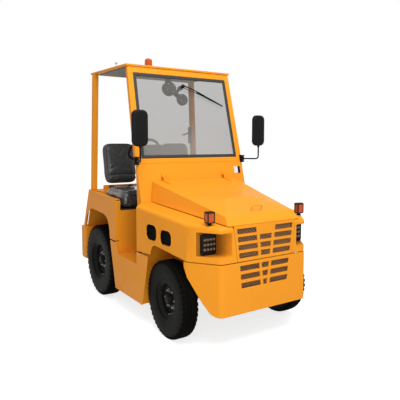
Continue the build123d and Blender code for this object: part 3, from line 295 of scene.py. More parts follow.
def frame_metal(finish, s):
    """Dark painted steel with dust in its hollows and thin rust."""
    cloud = finish.noise(9.0, 6.0)
    rust = finish.step(finish.noise(22.0, 8.0, 0.7), 0.60, 0.74)
    colour = finish.blend(cloud, tinted(s.metal, 0.7), tinted(s.metal, 1.7))
    colour = finish.blend(rust * 0.55, colour, (0.10, 0.042, 0.018))
    colour = finish.blend(finish.step(cloud, 0.55, 0.8) * 0.3, colour, DUST)
    height = finish.noise(160.0, 4.0) + rust * 0.5
    return finish.surface(colour, 0.50 + rust * 0.3, (height, 0.0006, 0.5), metallic=0.35)


def engine_iron(finish, s):
    """Rough cast iron with oil stains."""
    cast = finish.noise(210.0, 4.0, 0.7)
    stain = finish.step(finish.noise(8.0, 4.0), 0.45, 0.7)
    colour = finish.blend(cast, (0.055, 0.057, 0.06), (0.10, 0.10, 0.10))
    colour = finish.blend(stain * 0.7, colour, (0.018, 0.014, 0.01))
    return finish.surface(colour, 0.62 - stain * 0.25, (cast, 0.0009, 0.7), metallic=0.5)


def tyre_rubber(finish, s):
    """Matt black rubber with faint dust."""
    dust = finish.step(finish.noise(17.0, 6.0, 0.6), 0.48, 0.80)
    grain = finish.noise(420.0, 3.0)
    colour = finish.blend(dust * 0.10, s.rubber[:], (0.050, 0.044, 0.036))
    return finish.surface(colour, 0.52 + dust * 0.25, (grain + dust * 0.4, 0.0005, 0.5), specular=0.04)


def tyre_tread(finish, s):
    """Worn rubber where the tyre meets the road."""
    dust = finish.noise(40.0, 6.0, 0.65)
    colour = finish.blend(dust, s.rubber[:], (0.0055, 0.0052, 0.0045))
    return finish.surface(colour, 0.80, (finish.noise(300.0, 4.0), 0.0006, 0.7), specular=0.015)


def wheel_paint(finish, s):
    """Black paint of the wheels with brake dust."""
    dust = finish.step(finish.noise(26.0, 5.0), 0.45, 0.78)
    colour = finish.blend(dust * 0.05, s.rim[:], DUST)
    return finish.surface(colour, 0.46 + dust * 0.3, (finish.noise(260.0, 2.0), 0.0003, 0.4), specular=0.07)


def zinc(finish, s):
    """Plated steel of bolts and small fittings."""
    spangle = finish.cells(90.0)
    colour = finish.blend(spangle, (0.46, 0.45, 0.42), (0.62, 0.61, 0.58))
    return finish.surface(colour, 0.30 + spangle * 0.2, (finish.noise(300.0, 2.0), 0.0003, 0.4), metallic=0.9)


def bare_steel(finish, s):
    """Worn bright steel with fine scratches."""
    scratch = finish.noise(60.0, 6.0, 0.7, finish.scaled(1.0, 14.0, 1.0))
    colour = finish.blend(scratch, (0.20, 0.19, 0.18), (0.40, 0.39, 0.37))
    return finish.surface(colour, 0.35 + scratch * 0.25, (scratch, 0.0003, 0.5), metallic=0.85)


def black_plastic(finish, s):
    """Moulded plastic with a fine leather-like grain."""
    worn = finish.noise(14.0, 4.0)
    colour = finish.blend(worn, tinted(s.plastic, 0.8), tinted(s.plastic, 1.5))
    return finish.surface(colour, 0.36 + worn * 0.16, (finish.cells(430.0), 0.00025, 0.45), specular=0.08)


def grey_plastic(finish, s):
    """Dusty grey housings of the wiper motor."""
    worn = finish.noise(11.0, 4.0)
    colour = finish.blend(worn, (0.050, 0.058, 0.062), (0.085, 0.093, 0.098))
    return finish.surface(colour, 0.42 + worn * 0.15, (finish.cells(380.0), 0.0003, 0.45))


def seal_rubber(finish, s):
    """Smooth black rubber of the windscreen's seal."""
    worn = finish.noise(30.0, 4.0)
    colour = finish.blend(worn, (0.006, 0.006, 0.006), (0.014, 0.014, 0.013))
    return finish.surface(colour, 0.46 + worn * 0.2, (worn, 0.0004, 0.4))


def mat_rubber(finish, s):
    """Ribbed floor rubber with dry mud in its channels."""
    mud = finish.step(finish.noise(9.0, 7.0, 0.65), 0.42, 0.75)
    colour = finish.blend(mud * 0.35, (0.014, 0.014, 0.014), (0.12, 0.09, 0.065))
    return finish.surface(colour, 0.66 + mud * 0.2, (finish.noise(190.0, 4.0), 0.0006, 0.6))


def seat_vinyl(finish, s):
    """Black vinyl with leather grain, creases and wear on its crown."""
    crease = finish.noise(7.5, 3.0, 0.5, finish.scaled(1.0, 1.6, 1.0), 1.2)
    folds = 1.0 - finish.step(abs(crease - 0.5), 0.0, 0.055)
    worn = finish.step(finish.noise(5.0, 4.0), 0.45, 0.75)
    colour = finish.blend(worn * 0.5, s.vinyl[:], tinted(s.vinyl, 1.9))
    relief = finish.cells(330.0, "SMOOTH_F1"), 0.0004, 0.4, finish.bump(folds, 0.004, 0.35)
    return finish.surface(colour, 0.42 + worn * 0.1 - folds * 0.06, relief, coat=(0.15, 0.3))


def wrapped_vinyl(finish, s):
    """Seat vinyl under clear, crumpled wrapping film, with painted highlights along the film's folds."""
    crumple = finish.noise(11.0, 5.0, 0.62, None, 1.8)
    folds = 1.0 - finish.step(abs(crumple - 0.5), 0.0, 0.05)
    # Painted highlight: along the film's folds the vinyl is lightened towards three times its colour.
    colour = finish.blend(folds * 0.35, s.vinyl[:], tinted(s.vinyl, 3.0))
    film = finish.bump(folds + crumple * 0.8, 0.007, 0.8)
    relief = finish.cells(330.0, "SMOOTH_F1"), 0.0002, 0.3, film
    return finish.surface(colour, 0.30 - folds * 0.1, relief, coat=(0.9, 0.06))


def liner(finish, s):
    """Grey felt under the roof."""
    fibre = finish.noise(520.0, 4.0, 0.7)
    cloud = finish.noise(5.0, 3.0)
    colour = finish.blend(fibre * 0.6 + cloud * 0.4, (0.085, 0.080, 0.070), (0.16, 0.152, 0.136))
    return finish.surface(colour, 0.95, (fibre, 0.0008, 0.8), more={"Sheen Weight": 0.3})


def lens(finish, tint):
    """Tinted lamp lens with moulded ribs under its gloss, bands of painted shading along the ribs and a faint
    painted glow.
    """
    ribs_and_painted_shading = finish.wire("ShaderNodeTexWave", {"wave_type": "BANDS", "bands_direction": "X"},
                         {"Vector": finish.place, "Scale": 62.0, "Distortion": 0.0}, "Fac")
    depth = finish.noise(18.0, 2.0)
    # Painted shading: the ribs' bands make the colour lighter and darker in stripes. The noise varies it at
    # random.
    colour = finish.blend(ribs_and_painted_shading * 0.6 + depth * 0.4, tinted(tint, 0.55), tinted(tint, 1.25))
    # The faint emission is a painted glow, not light from a lit lamp.
    return finish.surface(colour, 0.22 + depth * 0.08, (ribs_and_painted_shading, 0.0008, 0.5), specular=0.2, coat=(0.2, 0.06),
                          more={"Emission Color": (*tint, 1.0), "Emission Strength": 0.06})


def amber_lens(finish, s):
    """Amber plastic of the marker lamps and the beacon."""
    return lens(finish, s.amber[:])


def red_lens(finish, s):
    """Red plastic of the tail lamps."""
    return lens(finish, (0.55, 0.012, 0.01))


def clear_lens(finish, s):
    """Frosted clear plastic of the reversing lamps."""
    return lens(finish, (0.62, 0.62, 0.60))


def reflector(finish, s):
    """Dulled brassy cups of the headlamp's diodes."""
    facet = finish.cells(240.0)
    colour = finish.blend(facet, (0.09, 0.062, 0.036), (0.22, 0.16, 0.10))
    return finish.surface(colour, 0.32 + facet * 0.15, (facet, 0.0006, 0.6), metallic=0.8)


def silver_glass(finish, s):
    """A silvered mirror with faint smears."""
    smear = finish.noise(12.0, 5.0)
    colour = finish.blend(smear, (0.78, 0.79, 0.80), (0.86, 0.87, 0.88))
    return finish.surface(colour, 0.03 + smear * 0.05, metallic=1.0)


def screen_glass(finish, s):
    """Tinted glass with a thin, uneven grey veil that thickens towards its foot: partly haze on the glass,
    partly painted reflection.
    """
    smear = finish.noise(3.2, 6.0, 0.6)
    haze_and_painted_reflection = finish.step(finish.axis("Z"), 1.78, 1.42)
    # Painted reflection and haze: towards the foot the glass turns a lighter grey and grows more opaque.
    colour = finish.blend(haze_and_painted_reflection * 0.9 + smear * 0.1, (0.150, 0.149, 0.142), (0.292, 0.290, 0.276))
    return finish.surface(colour, 0.045 + smear * 0.05, specular=0.3,
                          more={"Alpha": 0.37 + haze_and_painted_reflection * 0.115 + smear * 0.03})


def strand_metal(finish, s):
    """Painted strands of the grille's mesh."""
    dull = finish.noise(120.0, 3.0)
    colour = finish.blend(dull, tinted(s.strand, 0.5), tinted(s.strand, 1.4))
    return finish.surface(colour, 0.55 + dull * 0.2, (dull, 0.0004, 0.4), metallic=0.2)


def dark_void(finish, s):
    """Near-black painted shade for the sheets behind the grille, the boxes in the vents and the wheels' hand
    holes, with a faint uneven tone.
    """
    unevenness = finish.noise(25.0, 4.0)
    colour = finish.blend(unevenness, (0.004, 0.004, 0.004), (0.012, 0.011, 0.010))
    return finish.surface(colour, 0.8 + unevenness * 0.1, (unevenness, 0.0006, 0.4))


def pale_plate(finish, s):
    """A bare plate of brushed metal."""
    brush = finish.noise(80.0, 5.0, 0.6, finish.scaled(1.0, 1.0, 22.0))
    colour = finish.blend(brush, (0.66, 0.67, 0.66), (0.82, 0.82, 0.80))
    return finish.surface(colour, 0.28 + brush * 0.15, (brush, 0.0002, 0.4), metallic=0.45)


def gauge_face(finish, s):
    """Matt dial face under a clear cover."""
    speck = finish.noise(400.0, 2.0)
    colour = finish.blend(speck, (0.010, 0.010, 0.011), (0.018, 0.018, 0.019))
    return finish.surface(colour, 0.5, (speck, 0.0002, 0.3), coat=(1.0, 0.03))


def gauge_mark(finish, s):
    """Pale ticks and needles of the dials."""
    speck = finish.noise(300.0, 2.0)
    colour = finish.blend(speck, (0.62, 0.62, 0.58), (0.72, 0.72, 0.68))
    return finish.surface(colour, 0.45 + speck * 0.1)


def made_of(maker):
    """The material that a maker function gives, made once."""
    name = "tug_" + maker.__name__
    return bpy.data.materials.get(name) or maker(Finish(name), settings())


# Mesh building

def upright(axis):
    """Two directions square to an axis and to each other."""
    axis = axis.normalized()
    helper = UP if abs(axis.z) < 0.9 else ACROSS
    across = helper.cross(axis).normalized()
    return across, axis.cross(across)


def turned(steps, first=0.0):
    """Cosine and sine at even steps round a circle, from a first angle in degrees."""
    angles = (2 * math.pi * i / steps + math.radians(first) for i in range(steps))
    return [(math.cos(a), math.sin(a)) for a in angles]


def rounded_outline(width, height, radius, steps=6):
    """A rectangle with round corners as (u, v) points about its middle."""
    points = []
    for turn, (sx, sy) in enumerate(((1, 1), (-1, 1), (-1, -1), (1, -1))):
        cx, cy = sx * (width / 2 - radius), sy * (height / 2 - radius)
        for i in range(steps + 1):
            angle = math.radians(90 * (turn + i / steps))
            points.append((cx + radius * math.cos(angle), cy + radius * math.sin(angle)))
    return points


def placed(outline, origin, u, v):
    """An outline of (u, v) points in millimetres, laid out at a point."""
    return [origin + (u * a + v * b) * MM for a, b in outline]


def bowed(start, corner, end, steps):
    """Points of a curve that leaves start towards a corner and ends at end."""
    return [start.lerp(corner, t).lerp(corner.lerp(end, t), t) for t in (i / steps for i in range(steps + 1))]


def eased_path(points, bend):
    """Straight runs with corners that are rounded over a bend in millimetres."""
    path = [points[0]]
    for before, corner, after in zip(points, points[1:], points[2:]):
        into, out = (corner - before).normalized(), (after - corner).normalized()
        path += bowed(corner - into * bend * MM, corner, corner + out * bend * MM, 6)
    return path + [points[-1]]


class Form:
    """A piece under construction: points in metres, sizes in millimetres, a finish's number a polygon."""

    def __init__(self):
        self.points = []
        self.faces = []
        self.kinds = []

    def polygon(self, points, kind=0):
        """One polygon."""
        start = len(self.points)
        self.points.extend(points)
        self.faces.append(list(range(start, start + len(points))))
        self.kinds.append(kind)

    def grid(self, rows, kind=0, ring=False, loop=False, kind_of=None):
        """A surface through rows of points: ring closes each row, loop joins the last row to the first."""
        start, tall, wide = len(self.points), len(rows), len(rows[0])
        for row in rows:
            self.points.extend(row)
        for i in range(tall if loop else tall - 1):
            for j in range(wide if ring else wide - 1):
                near, far = start + i * wide, start + (i + 1) % tall * wide
                after = (j + 1) % wide
                self.faces.append([near + j, near + after, far + after, far + j])
                self.kinds.append(kind_of(i, j) if kind_of else kind)

    def hull(self, rows, kind=0, foot=True):
        """A surface through rings with its last ring closed, and its first one too if it has a foot."""
        self.grid(rows, kind, ring=True)
        self.polygon(rows[-1], kind)
        if foot:
            self.polygon(rows[0][::-1], kind)

    def lathe(self, base, axis, profile, kind=0, steps=32):
        """A turned form: profile rows are (distance along the axis, radius)."""
        axis = axis.normalized()
        across, up = upright(axis)
        rows = []
        for along, radius in profile:
            centre = base + axis * (along * MM)
            rows.append([centre + (across * c + up * s) * (radius * MM) for c, s in turned(steps)])
        self.grid(rows, kind, ring=True)

    def tube(self, path, radius, kind=0, steps=12, flat=1.0):
        """A closed bar along points, with one radius or one at each point."""
        radii = radius if isinstance(radius, list) else [radius] * len(path)
        across, _ = upright(path[1] - path[0])
        rows = []
        for i, point in enumerate(path):
            run = (path[min(i + 1, len(path) - 1)] - path[max(i - 1, 0)]).normalized()
            across = (across - run * across.dot(run)).normalized()
            up = run.cross(across) * flat
            rows.append([point + (across * c + up * s) * (radii[i] * MM) for c, s in turned(steps)])
        self.hull(rows, kind)

    def prism(self, outline, origin, u, v, w, kind=0):
        """An outline of (u, v) points at origin, thick by the vector w in metres."""
        low = placed(outline, origin, u, v)
        self.hull([low, [point + w for point in low]], kind)

    def box(self, low, high, kind=0):
        """A box between two corners."""
        (x0, y0, z0), (x1, y1, z1) = low, high
        outline = [(x0, y0), (x1, y0), (x1, y1), (x0, y1)]
        self.prism(outline, mm(0, 0, z0), ACROSS, BACK, mm(0, 0, z1 - z0), kind)

    def bolt(self, base, axis, radius, kind=0, washer=1.5, height=0.65):
        """A hexagon bolt head on its washer, sized as shares of its radius."""
        axis = axis.normalized()
        disc = [(0, 0), (0, washer), (0.16, washer), (0.2, washer * 0.95), (0.2, 0)]
        self.lathe(base, axis, [(along * radius, share * radius) for along, share in disc], kind, 20)
        across, up = upright(axis)
        rows = []
        for along, share in ((0.2, 1.0), (0.2 + height * 0.8, 1.0), (0.2 + height, 0.86)):
            hexagon = [(c * radius * share, s * radius * share) for c, s in turned(6)]
            rows.append(placed(hexagon, base + axis * (radius * along * MM), across, up))
        self.hull(rows, kind, foot=False)

    def mirrored(self):
        """The same form on the other side of the vehicle."""
        other = Form()
        other.points = [Vector((-p[0], p[1], p[2])) for p in self.points]
        other.faces = [face[::-1] for face in self.faces]
        other.kinds = list(self.kinds)
        return other

    def paired(self):
        """This form with its mirror image."""
        other = self.mirrored()
        start = len(self.points)
        self.points.extend(other.points)
        self.faces.extend([[start + i for i in face] for face in other.faces])
        self.kinds.extend(other.kinds)
        return self

    def build(self, name, makers, slot, body="chassis", replaces=(), edge=0.0, sharp=35.0, parts=2):
        """The finished object, which rides on a body."""
        mesh = bpy.data.meshes.new(name)
        mesh.from_pydata([tuple(p) for p in self.points], [], self.faces)
        mesh.polygons.foreach_set("material_index", self.kinds)
        for maker in makers:
            mesh.materials.append(made_of(maker))
        tidy_mesh(mesh, sharp)
        piece = linked(name, mesh)
        finish_edges(piece, edge * MM, sharp, parts)
        return place_piece(piece, body, replaces)


def linked(name, data):
    """A new object in the scene."""
    made = bpy.data.objects.new(name, data)
    bpy.context.scene.collection.objects.link(made)
    return made


def tidy_mesh(mesh, sharp):
    """Merges doubled points, turns faces outwards and marks the sharp edges."""
    work = bmesh.new()
    work.from_mesh(mesh)
    bmesh.ops.remove_doubles(work, verts=work.verts, dist=2e-6)
    bmesh.ops.recalc_face_normals(work, faces=work.faces)
    for face in work.faces:
        face.smooth = True
    limit = math.radians(sharp)
    for rim in work.edges:
        rim.smooth = len(rim.link_faces) == 2 and rim.calc_face_angle(0.0) < limit
    work.to_mesh(mesh)
    work.free()


def finish_edges(piece, edge, sharp, parts=2):
    """Rounds the sharp edges by a radius in metres and evens the shading."""
    if edge:
        bevel = piece.modifiers.new("edges", "BEVEL")
        bevel.width = edge
        bevel.segments = parts
        bevel.limit_method = "ANGLE"
        bevel.angle_limit = math.radians(sharp)
        bevel.use_clamp_overlap = False
        bevel.miter_outer = "MITER_ARC"
    weighted = piece.modifiers.new("shading", "WEIGHTED_NORMAL")
    weighted.keep_sharp = True


def place_piece(piece, body, replaces):
    """Puts a piece on its body and what it stands for."""
    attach(piece, body)
    if replaces:
        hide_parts(*replaces)
    return piece


# Sheet metal and frame

FLAT_WITHIN = math.radians(0.4)
SOFT_FROM = 0.06
FOLD_AREA = 0.004


def soften_folds(work, fold):
    """Turns the creases between large faces into soft folds."""
    creases = [e for e in work.edges if len(e.link_faces) == 2 and e.calc_face_angle(0.0) > SOFT_FROM
               and min(f.calc_area() for f in e.link_faces) > FOLD_AREA]
    bmesh.ops.bevel(work, geom=creases, offset=fold, segments=4, profile=0.5,
                    affect="EDGES", clamp_overlap=True, miter_outer="ARC")


def dressed(node, maker, slot, edge=None, fold=0.0, other=None):
    """A CAD node's own form with rounded edges and a finish, and another finish on chosen faces."""
    source = frame["nodes"][node]
    name = node + "_dressed"
    mesh = source.data.copy()
    mesh.name = name
    mesh.materials.clear()
    mesh.materials.append(made_of(maker))
    other_maker, chosen = other or (None, None)
    if other_maker:
        mesh.materials.append(made_of(other_maker))
    work = bmesh.new()
    work.from_mesh(mesh)
    bmesh.ops.remove_doubles(work, verts=work.verts, dist=1e-5)
    bmesh.ops.dissolve_limit(work, angle_limit=FLAT_WITHIN, verts=work.verts, edges=work.edges)
    if not fold:
        bmesh.ops.triangulate(work, faces=[face for face in work.faces if len(face.verts) > 4])
    for face in work.faces:
        face.material_index = 1 if chosen and chosen(face.calc_center_median() / MM) else 0
    if fold:
        soften_folds(work, fold)
    for face in work.faces:
        face.smooth = True
    work.to_mesh(mesh)
    work.free()
    piece = linked(name, mesh)
    finish_edges(piece, settings().edge if edge is None else edge * MM, 30.0)
    return place_piece(piece, source["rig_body"], [node])


SHEETS = [  # node, finish, slot, edge radius in millimetres, or None for the usual one
    ("front_fenders", body_paint, "body_paint", None),
    ("grille_panel", body_paint, "body_paint", None),
    ("front_bumper", body_paint, "body_paint", 3.0),
    ("cowl_panel", body_paint, "body_paint", None),
    ("windscreen_frame", body_paint, "body_paint", 4.0),
    ("roof_panel", body_paint, "body_paint", 4.0),
    ("floor_and_wheelhouses", body_paint, "body_paint", None),
    ("side_plates", body_paint, "body_paint", None),
    ("bench_sheet", body_paint, "body_paint", None),
    ("rear_deck", body_paint, "body_paint", None),
    ("rear_fenders", body_paint, "body_paint", None),
    ("rear_block", body_paint, "body_paint", 5.0),
    ("hood_fittings", body_paint, "body_paint", 0.8),
    ("chassis_frame", frame_metal, "dark_metal", 3.0),
    ("seat_frames", frame_metal, "dark_metal", 2.0),
    ("front_axle", frame_metal, "dark_metal", 2.0),
    ("rear_axle", frame_metal, "dark_metal", 2.0),
    ("knuckle_right", frame_metal, "dark_metal", 1.5),
    ("knuckle_left", frame_metal, "dark_metal", 1.5),
    ("tie_rod", frame_metal, "dark_metal", 1.5),
    ("tow_hitch", bare_steel, "dark_metal", 2.0),
    ("engine_block", engine_iron, "engine_iron", 8.0),
    ("windscreen_seal", seal_rubber, "seal_rubber", 3.0),
]


def on_latch(spot):
    """Whether a place on the rear posts belongs to the left post's latch and lever."""
    post_foot, post_lean, foot_z = 557.0, 36.0 / 1134.0, 1010.0
    return 0 < spot.x < post_foot - post_lean * (spot.z - foot_z)


def on_mirror_bracket(spot):
    """Whether a place on the brackets belongs to the mirrors' ones."""
    return spot.z > 1250.0


class TUG_OT_sheets(bpy.types.Operator):
    """Dresses the frame's sheets, bars and castings with rounded edges and finishes"""

    bl_idname = "tug.sheets"
    bl_label = "Sheets and frame"

    def execute(self, context):
        for row in SHEETS:
            dressed(*row)
        dressed("rear_posts", body_paint, "body_paint", 3.5, other=(black_plastic, on_latch))
        dressed("hinge_brackets", body_paint, "body_paint", 0.8, other=(black_plastic, on_mirror_bracket))
        return {"FINISHED"}


class TUG_OT_hood(bpy.types.Operator):
    """Dresses the hood with soft folds"""

    bl_idname = "tug.hood"
    bl_label = "Hood"

    def execute(self, context):
        dressed("hood_panel", body_paint, "body_paint", fold=settings().hood_fold)
        return {"FINISHED"}


# Tyres and wheels

WHEELS = [  # name, side, rim radius, rear tyre or not
    ("front_right", -1, 127.0, False),
    ("front_left", 1, 127.0, False),
    ("rear_right", -1, 158.0, True),
    ("rear_left", 1, 158.0, True),
]

TYRE_LINE = [  # share of the half width, share of the height over the rim, how much of it is tread
    (0.66, 0.0, 0), (0.74, 0.03, 0), (0.86, 0.10, 0), (0.90, 0.13, 0), (0.92, 0.14, 0),
    (0.975, 0.30, 0), (0.995, 0.46, 0), (1.0, 0.52, 0), (0.99, 0.62, 0), (0.985, 0.66, 0),
    (0.975, 0.72, 0), (0.955, 0.79, 0.2), (0.93, 0.86, 1), (0.88, 0.94, 1), (0.80, 0.975, 1),
    (0.72, 0.990, 1), (0.60, 0.996, 1), (0.52, 0.997, 1), (0.50, 0.997, 1), (0.42, 0.998, 1),
    (0.40, 0.998, 1), (0.22, 1.0, 1), (0.20, 1.0, 1), (0.12, 1.0, 1), (0.10, 1.0, 1), (0.0, 1.0, 1),
]
SIDE_RINGS = [(0.30, 0.977), (0.62, 0.992), (0.70, 0.98)]
PITCH_CUTS = [0.0, 0.05, 0.25, 0.39, 0.44, 0.5, 0.55, 0.75, 0.89, 0.94]
FRONT_PITCHES, REAR_PITCHES = 44, 38


def ribbed(across, turn):
    """Where the front tyres are cut: rings round the crown and notches on the shoulders."""
    share = abs(across)
    on_ring = 0.405 < share < 0.515 or 0.105 < share < 0.195
    return on_ring or (share > 0.62 and turn % 1.0 < 0.42)


def lugged(across, turn):
    """Where the rear tyres are cut: between slanted lugs that alternate left and right."""
    share = abs(across)
    shift = 0.5 if across > 0 else 0.0
    return share >= 0.11 and (turn + shift + share * 0.55) % 1.0 < 0.44


def tyre(name, rim, rear):
    """One tyre with its tread cut into it."""
    low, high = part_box("tyre_" + name)
    centre = (low + high) / 2
    radius, half = (high.z - low.z) / 2 / MM, (high.x - low.x) / 2 / MM
    section = [(a, rim + b * (radius - rim), t) for a, b, t in TYRE_LINE]
    section += [(-a, r, t) for a, r, t in section[-2::-1]]
    pitches, cut = (REAR_PITCHES, lugged) if rear else (FRONT_PITCHES, ribbed)
    depth = (settings().lug if rear else settings().groove) / MM
    rows = []
    for turn in (k + part for k in range(pitches) for part in PITCH_CUTS):
        angle = 2 * math.pi * turn / pitches
        row = []
        for across, r, tread in section:
            r -= depth * tread if cut(across, turn) else 0.0
            row.append(centre + mm(across * half, r * math.sin(angle), r * math.cos(angle)))
        rows.append(row)
    crown = [t > 0.5 for _, _, t in section]
    form = Form()
    form.grid(rows, loop=True, kind_of=lambda i, j: 1 if crown[j] and crown[j + 1] else 0)
    for up_share, out_share in SIDE_RINGS:
        r = rim + (radius - rim) * up_share
        for face in (-1, 1):
            base = centre + mm(face * (half * out_share - 2.2), 0, 0)
            form.lathe(base, ACROSS * face, [(0, r - 2.2), (2.2, r - 1), (2.2, r + 1), (0, r + 2.2)], 0, 96)
    form.build("tyre_%s_dressed" % name, [tyre_rubber, tyre_tread], "tyre_rubber", "wheel_" + name,
               ["tyre_" + name], sharp=28.0)


NUTS, NUT_CIRCLE, NUT_RADIUS = 6, 68.0, 10.5
HAND_HOLES = 8
VALVE_TURN = math.radians(248)


def spoke(angle):
    """The direction from a wheel's middle at an angle in radians."""
    return Vector((0, math.cos(angle), math.sin(angle)))


def wheel(name, side, rim):
    """One pressed wheel with its rim, disc, hub, nuts and valve."""
    low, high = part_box("wheel_" + name)
    tyre_low, tyre_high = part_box("tyre_" + name)
    centre = (low + high) / 2
    centre.x = (tyre_low.x + tyre_high.x) / 2
    out = ACROSS * side
    half = (tyre_high.x - tyre_low.x) / MM * 0.34
    disc, lip = half - 42, rim + 10
    form = Form()
    form.lathe(centre, out, [
        (-half, rim - 4), (-half - 4, rim), (-half - 4, lip), (-half, lip + 2), (-half + 4, rim + 1),
        (half - 4, rim + 1), (half, lip + 2), (half + 4, lip), (half + 4, rim), (half, rim - 4),
        (half - 10, rim - 7), (half - 16, rim - 12), (half - 40, rim - 15), (-half, rim - 12),
        (-half, rim - 4)], 0, 72)
    form.lathe(centre, out, [
        (disc - 10, rim - 13.5), (disc + 4, rim - 13.5), (disc + 8, rim * 0.84), (disc + 3, rim * 0.78),
        (disc - 6, rim * 0.70), (disc - 6, rim * 0.64), (disc + 1, rim * 0.60), (disc + 3, 52),
        (disc + 3, 0), (disc - 10, 0), (disc - 10, rim - 13.5)], 0, 72)
    form.lathe(centre, out, [
        (disc, 0), (disc, 46), (disc + 10, 46), (disc + 12, 43), (disc + 26, 41), (disc + 30, 37),
        (disc + 38, 35), (disc + 43, 29), (disc + 45, 18), (disc + 45, 0)], 0, 48)
    form.lathe(centre, out, [(disc - 10, 60), (disc - 24, 56), (disc - 58, 46), (disc - 58, 0)], 0, 40)
    for i in range(NUTS):
        spot = centre + out * (disc + 3) * MM + spoke(2 * math.pi * i / NUTS) * NUT_CIRCLE * MM
        form.bolt(spot, out, NUT_RADIUS, 1, 1.35, 1.0)
        form.lathe(spot + out * 0.012, out, [(0, 5.5), (6, 5.5), (7, 4.5), (7, 0)], 1, 14)
    # The hand holes are closed discs in near-black painted shade. They stand in for the dark behind the disc.
    for i in range(HAND_HOLES):
        arm = spoke(2 * math.pi * (i + 0.5) / HAND_HOLES)
        spot = centre + out * (disc + 4.5) * MM + arm * rim * 0.80 * MM
        form.lathe(spot, out, [(0, 9), (1.2, 8.8), (1.2, 6.8), (-2, 6), (-2, 0)], 2, 18)
    stem = centre + out * (half - 30) * MM + spoke(VALVE_TURN) * (rim - 18) * MM
    form.lathe(stem, out, [(0, 4.5), (22, 4.5), (23, 3.6), (36, 3.6), (36, 0)], 1, 12)
    form.build("wheel_%s_dressed" % name, [wheel_paint, bare_steel, dark_void], "wheel_paint",
               "wheel_" + name, ["wheel_" + name], sharp=32.0)


class TUG_OT_wheels(bpy.types.Operator):
    """Makes the four tyres with their treads and the four wheels"""

    bl_idname = "tug.wheels"
    bl_label = "Tyres and wheels"

    def execute(self, context):
        for name, side, rim, rear in WHEELS:
            tyre(name, rim, rear)
            wheel(name, side, rim)
        return {"FINISHED"}


# Nose: mesh, lamps, vents

NETS = [  # half width, y, low z, high z
    (266.0, -1158.8, 654.0, 890.0),
    (244.0, -1151.8, 432.0, 620.0),
]
STRAND, NET_THICK = 0.8, 2.2
NET_SLACK = 0.001


def lattice(form, x0, x1, z0, z1, y, pitch, rise):
    """A sheet of expanded metal: staggered diamonds with thin strands, as a flat net."""
    columns, rows = int((x1 - x0) / pitch), int((z1 - z0) / rise)
    sx, sz = (x1 - x0) / columns, (z1 - z0) / rows
    keep_x, keep_z = 1 - 2 * STRAND / sx * 1.6, 1 - 2 * STRAND / sz
    diamond = [(-sx / 2, 0), (0, -sz / 2), (sx / 2, 0), (0, sz / 2)]
    for j in range(1, rows * 2 - 1):
        for i in range(columns + 1):
            cx = x0 + (i + (0.5 if j % 2 else 0.0)) * sx
            cz = z0 + (j + 0.5) * sz / 2
            if cx - sx / 2 < x0 - NET_SLACK or cx + sx / 2 > x1 + NET_SLACK:
                continue
            outer = [(cx + a, cz + b) for a, b in diamond]
            inner = [(cx + a * keep_x, cz + b * keep_z) for a, b in diamond]
            rings = [[mm(a, y + depth, b) for a, b in ring] for depth, ring in
                     ((NET_THICK * 0.4, outer), (0.0, inner), (NET_THICK, inner))]
            form.grid(rings[:2], 0, ring=True)
            form.grid(rings[1:], 0, ring=True)


class TUG_OT_grille(bpy.types.Operator):
    """Makes the diamond meshes behind the slots, each with a black backing sheet of painted shade"""

    bl_idname = "tug.grille"
    bl_label = "Grille mesh"

    def execute(self, context):
        pitch = settings().mesh_pitch / MM
        form = Form()
        for x, y, z0, z1 in NETS:
            lattice(form, -x, x, z0, z1, y, pitch, pitch * 0.8)
            # Backing sheet in near-black painted shade, for the dark behind the slots.
            form.box((-x, y + 2.4, z0), (x, y + 2.8, z1), 1)
        form.build("grille_mesh_dressed", [strand_metal, dark_void], "black_plastic",
                   replaces=["grille_mesh"])
        return {"FINISHED"}


NOSE_CREASE, NOSE_CORNER = (548.0, -946.0), (394.0, -1164.0)
POCKET_LOW, POCKET_HIGH, POCKET_BACK = 688.0, 860.0, -1010.0
POCKET_OUT, POCKET_IN, POCKET_WALL = -506.0, -306.0, -332.0
LAMP_AT, LAMP_SIZE, LAMP_DEEP = (-419.0, -1034.0, 768.0), (121.0, 147.0), 22.0
CUP_STEP = (26.0, 35.0)
CUP_LINE = [(0, 10.5), (3, 11.5), (3, 9.5), (-1, 5), (0.5, 2), (0.5, 0)]
MARKER_AT = (-429.0, -1060.0)
MARKER_FOOT, MARKER_LOW, MARKER_HIGH = 911.8, 925.5, 1008.5
MARKER_PLATES = [  # low z, high z, width, depth
    (MARKER_LOW, MARKER_LOW + 9, 59, 48),
    (MARKER_HIGH - 11, MARKER_HIGH, 63, 51),
]
MARKER_POSTS = [(-26.0, -20.5), (-26.0, 20.5), (26.0, -20.5), (26.0, 20.5)]
MARKER_LENS = [  # z, width
    (MARKER_LOW + 7, 53), (MARKER_LOW + 12, 56), (MARKER_LOW + 42, 57), (MARKER_HIGH - 13, 56),
    (MARKER_HIGH - 9, 53),
]


def nose_line(x):
    """Where the nose's outer skin lies at a distance from the middle."""
    share = max(0.0, (x - NOSE_CORNER[0]) / (NOSE_CREASE[0] - NOSE_CORNER[0]))
    return NOSE_CORNER[1] + (NOSE_CREASE[1] - NOSE_CORNER[1]) * share


def pocket_ring(x_in, grow, radius, y_at):
    """One ring of the recess: a rectangle with round corners whose long sides bend with the nose."""
    left, right = POCKET_OUT - grow, x_in + grow
    low, high = POCKET_LOW - grow, POCKET_HIGH + grow
    corners = [(cx + (left + right) / 2, cz + (low + high) / 2)
               for cx, cz in rounded_outline(right - left, high - low, radius)]
    corners.insert(21, (-NOSE_CORNER[0], low))
    corners.insert(7, (-NOSE_CORNER[0], high))
    return [mm(x, y_at(x), z) for x, z in corners]


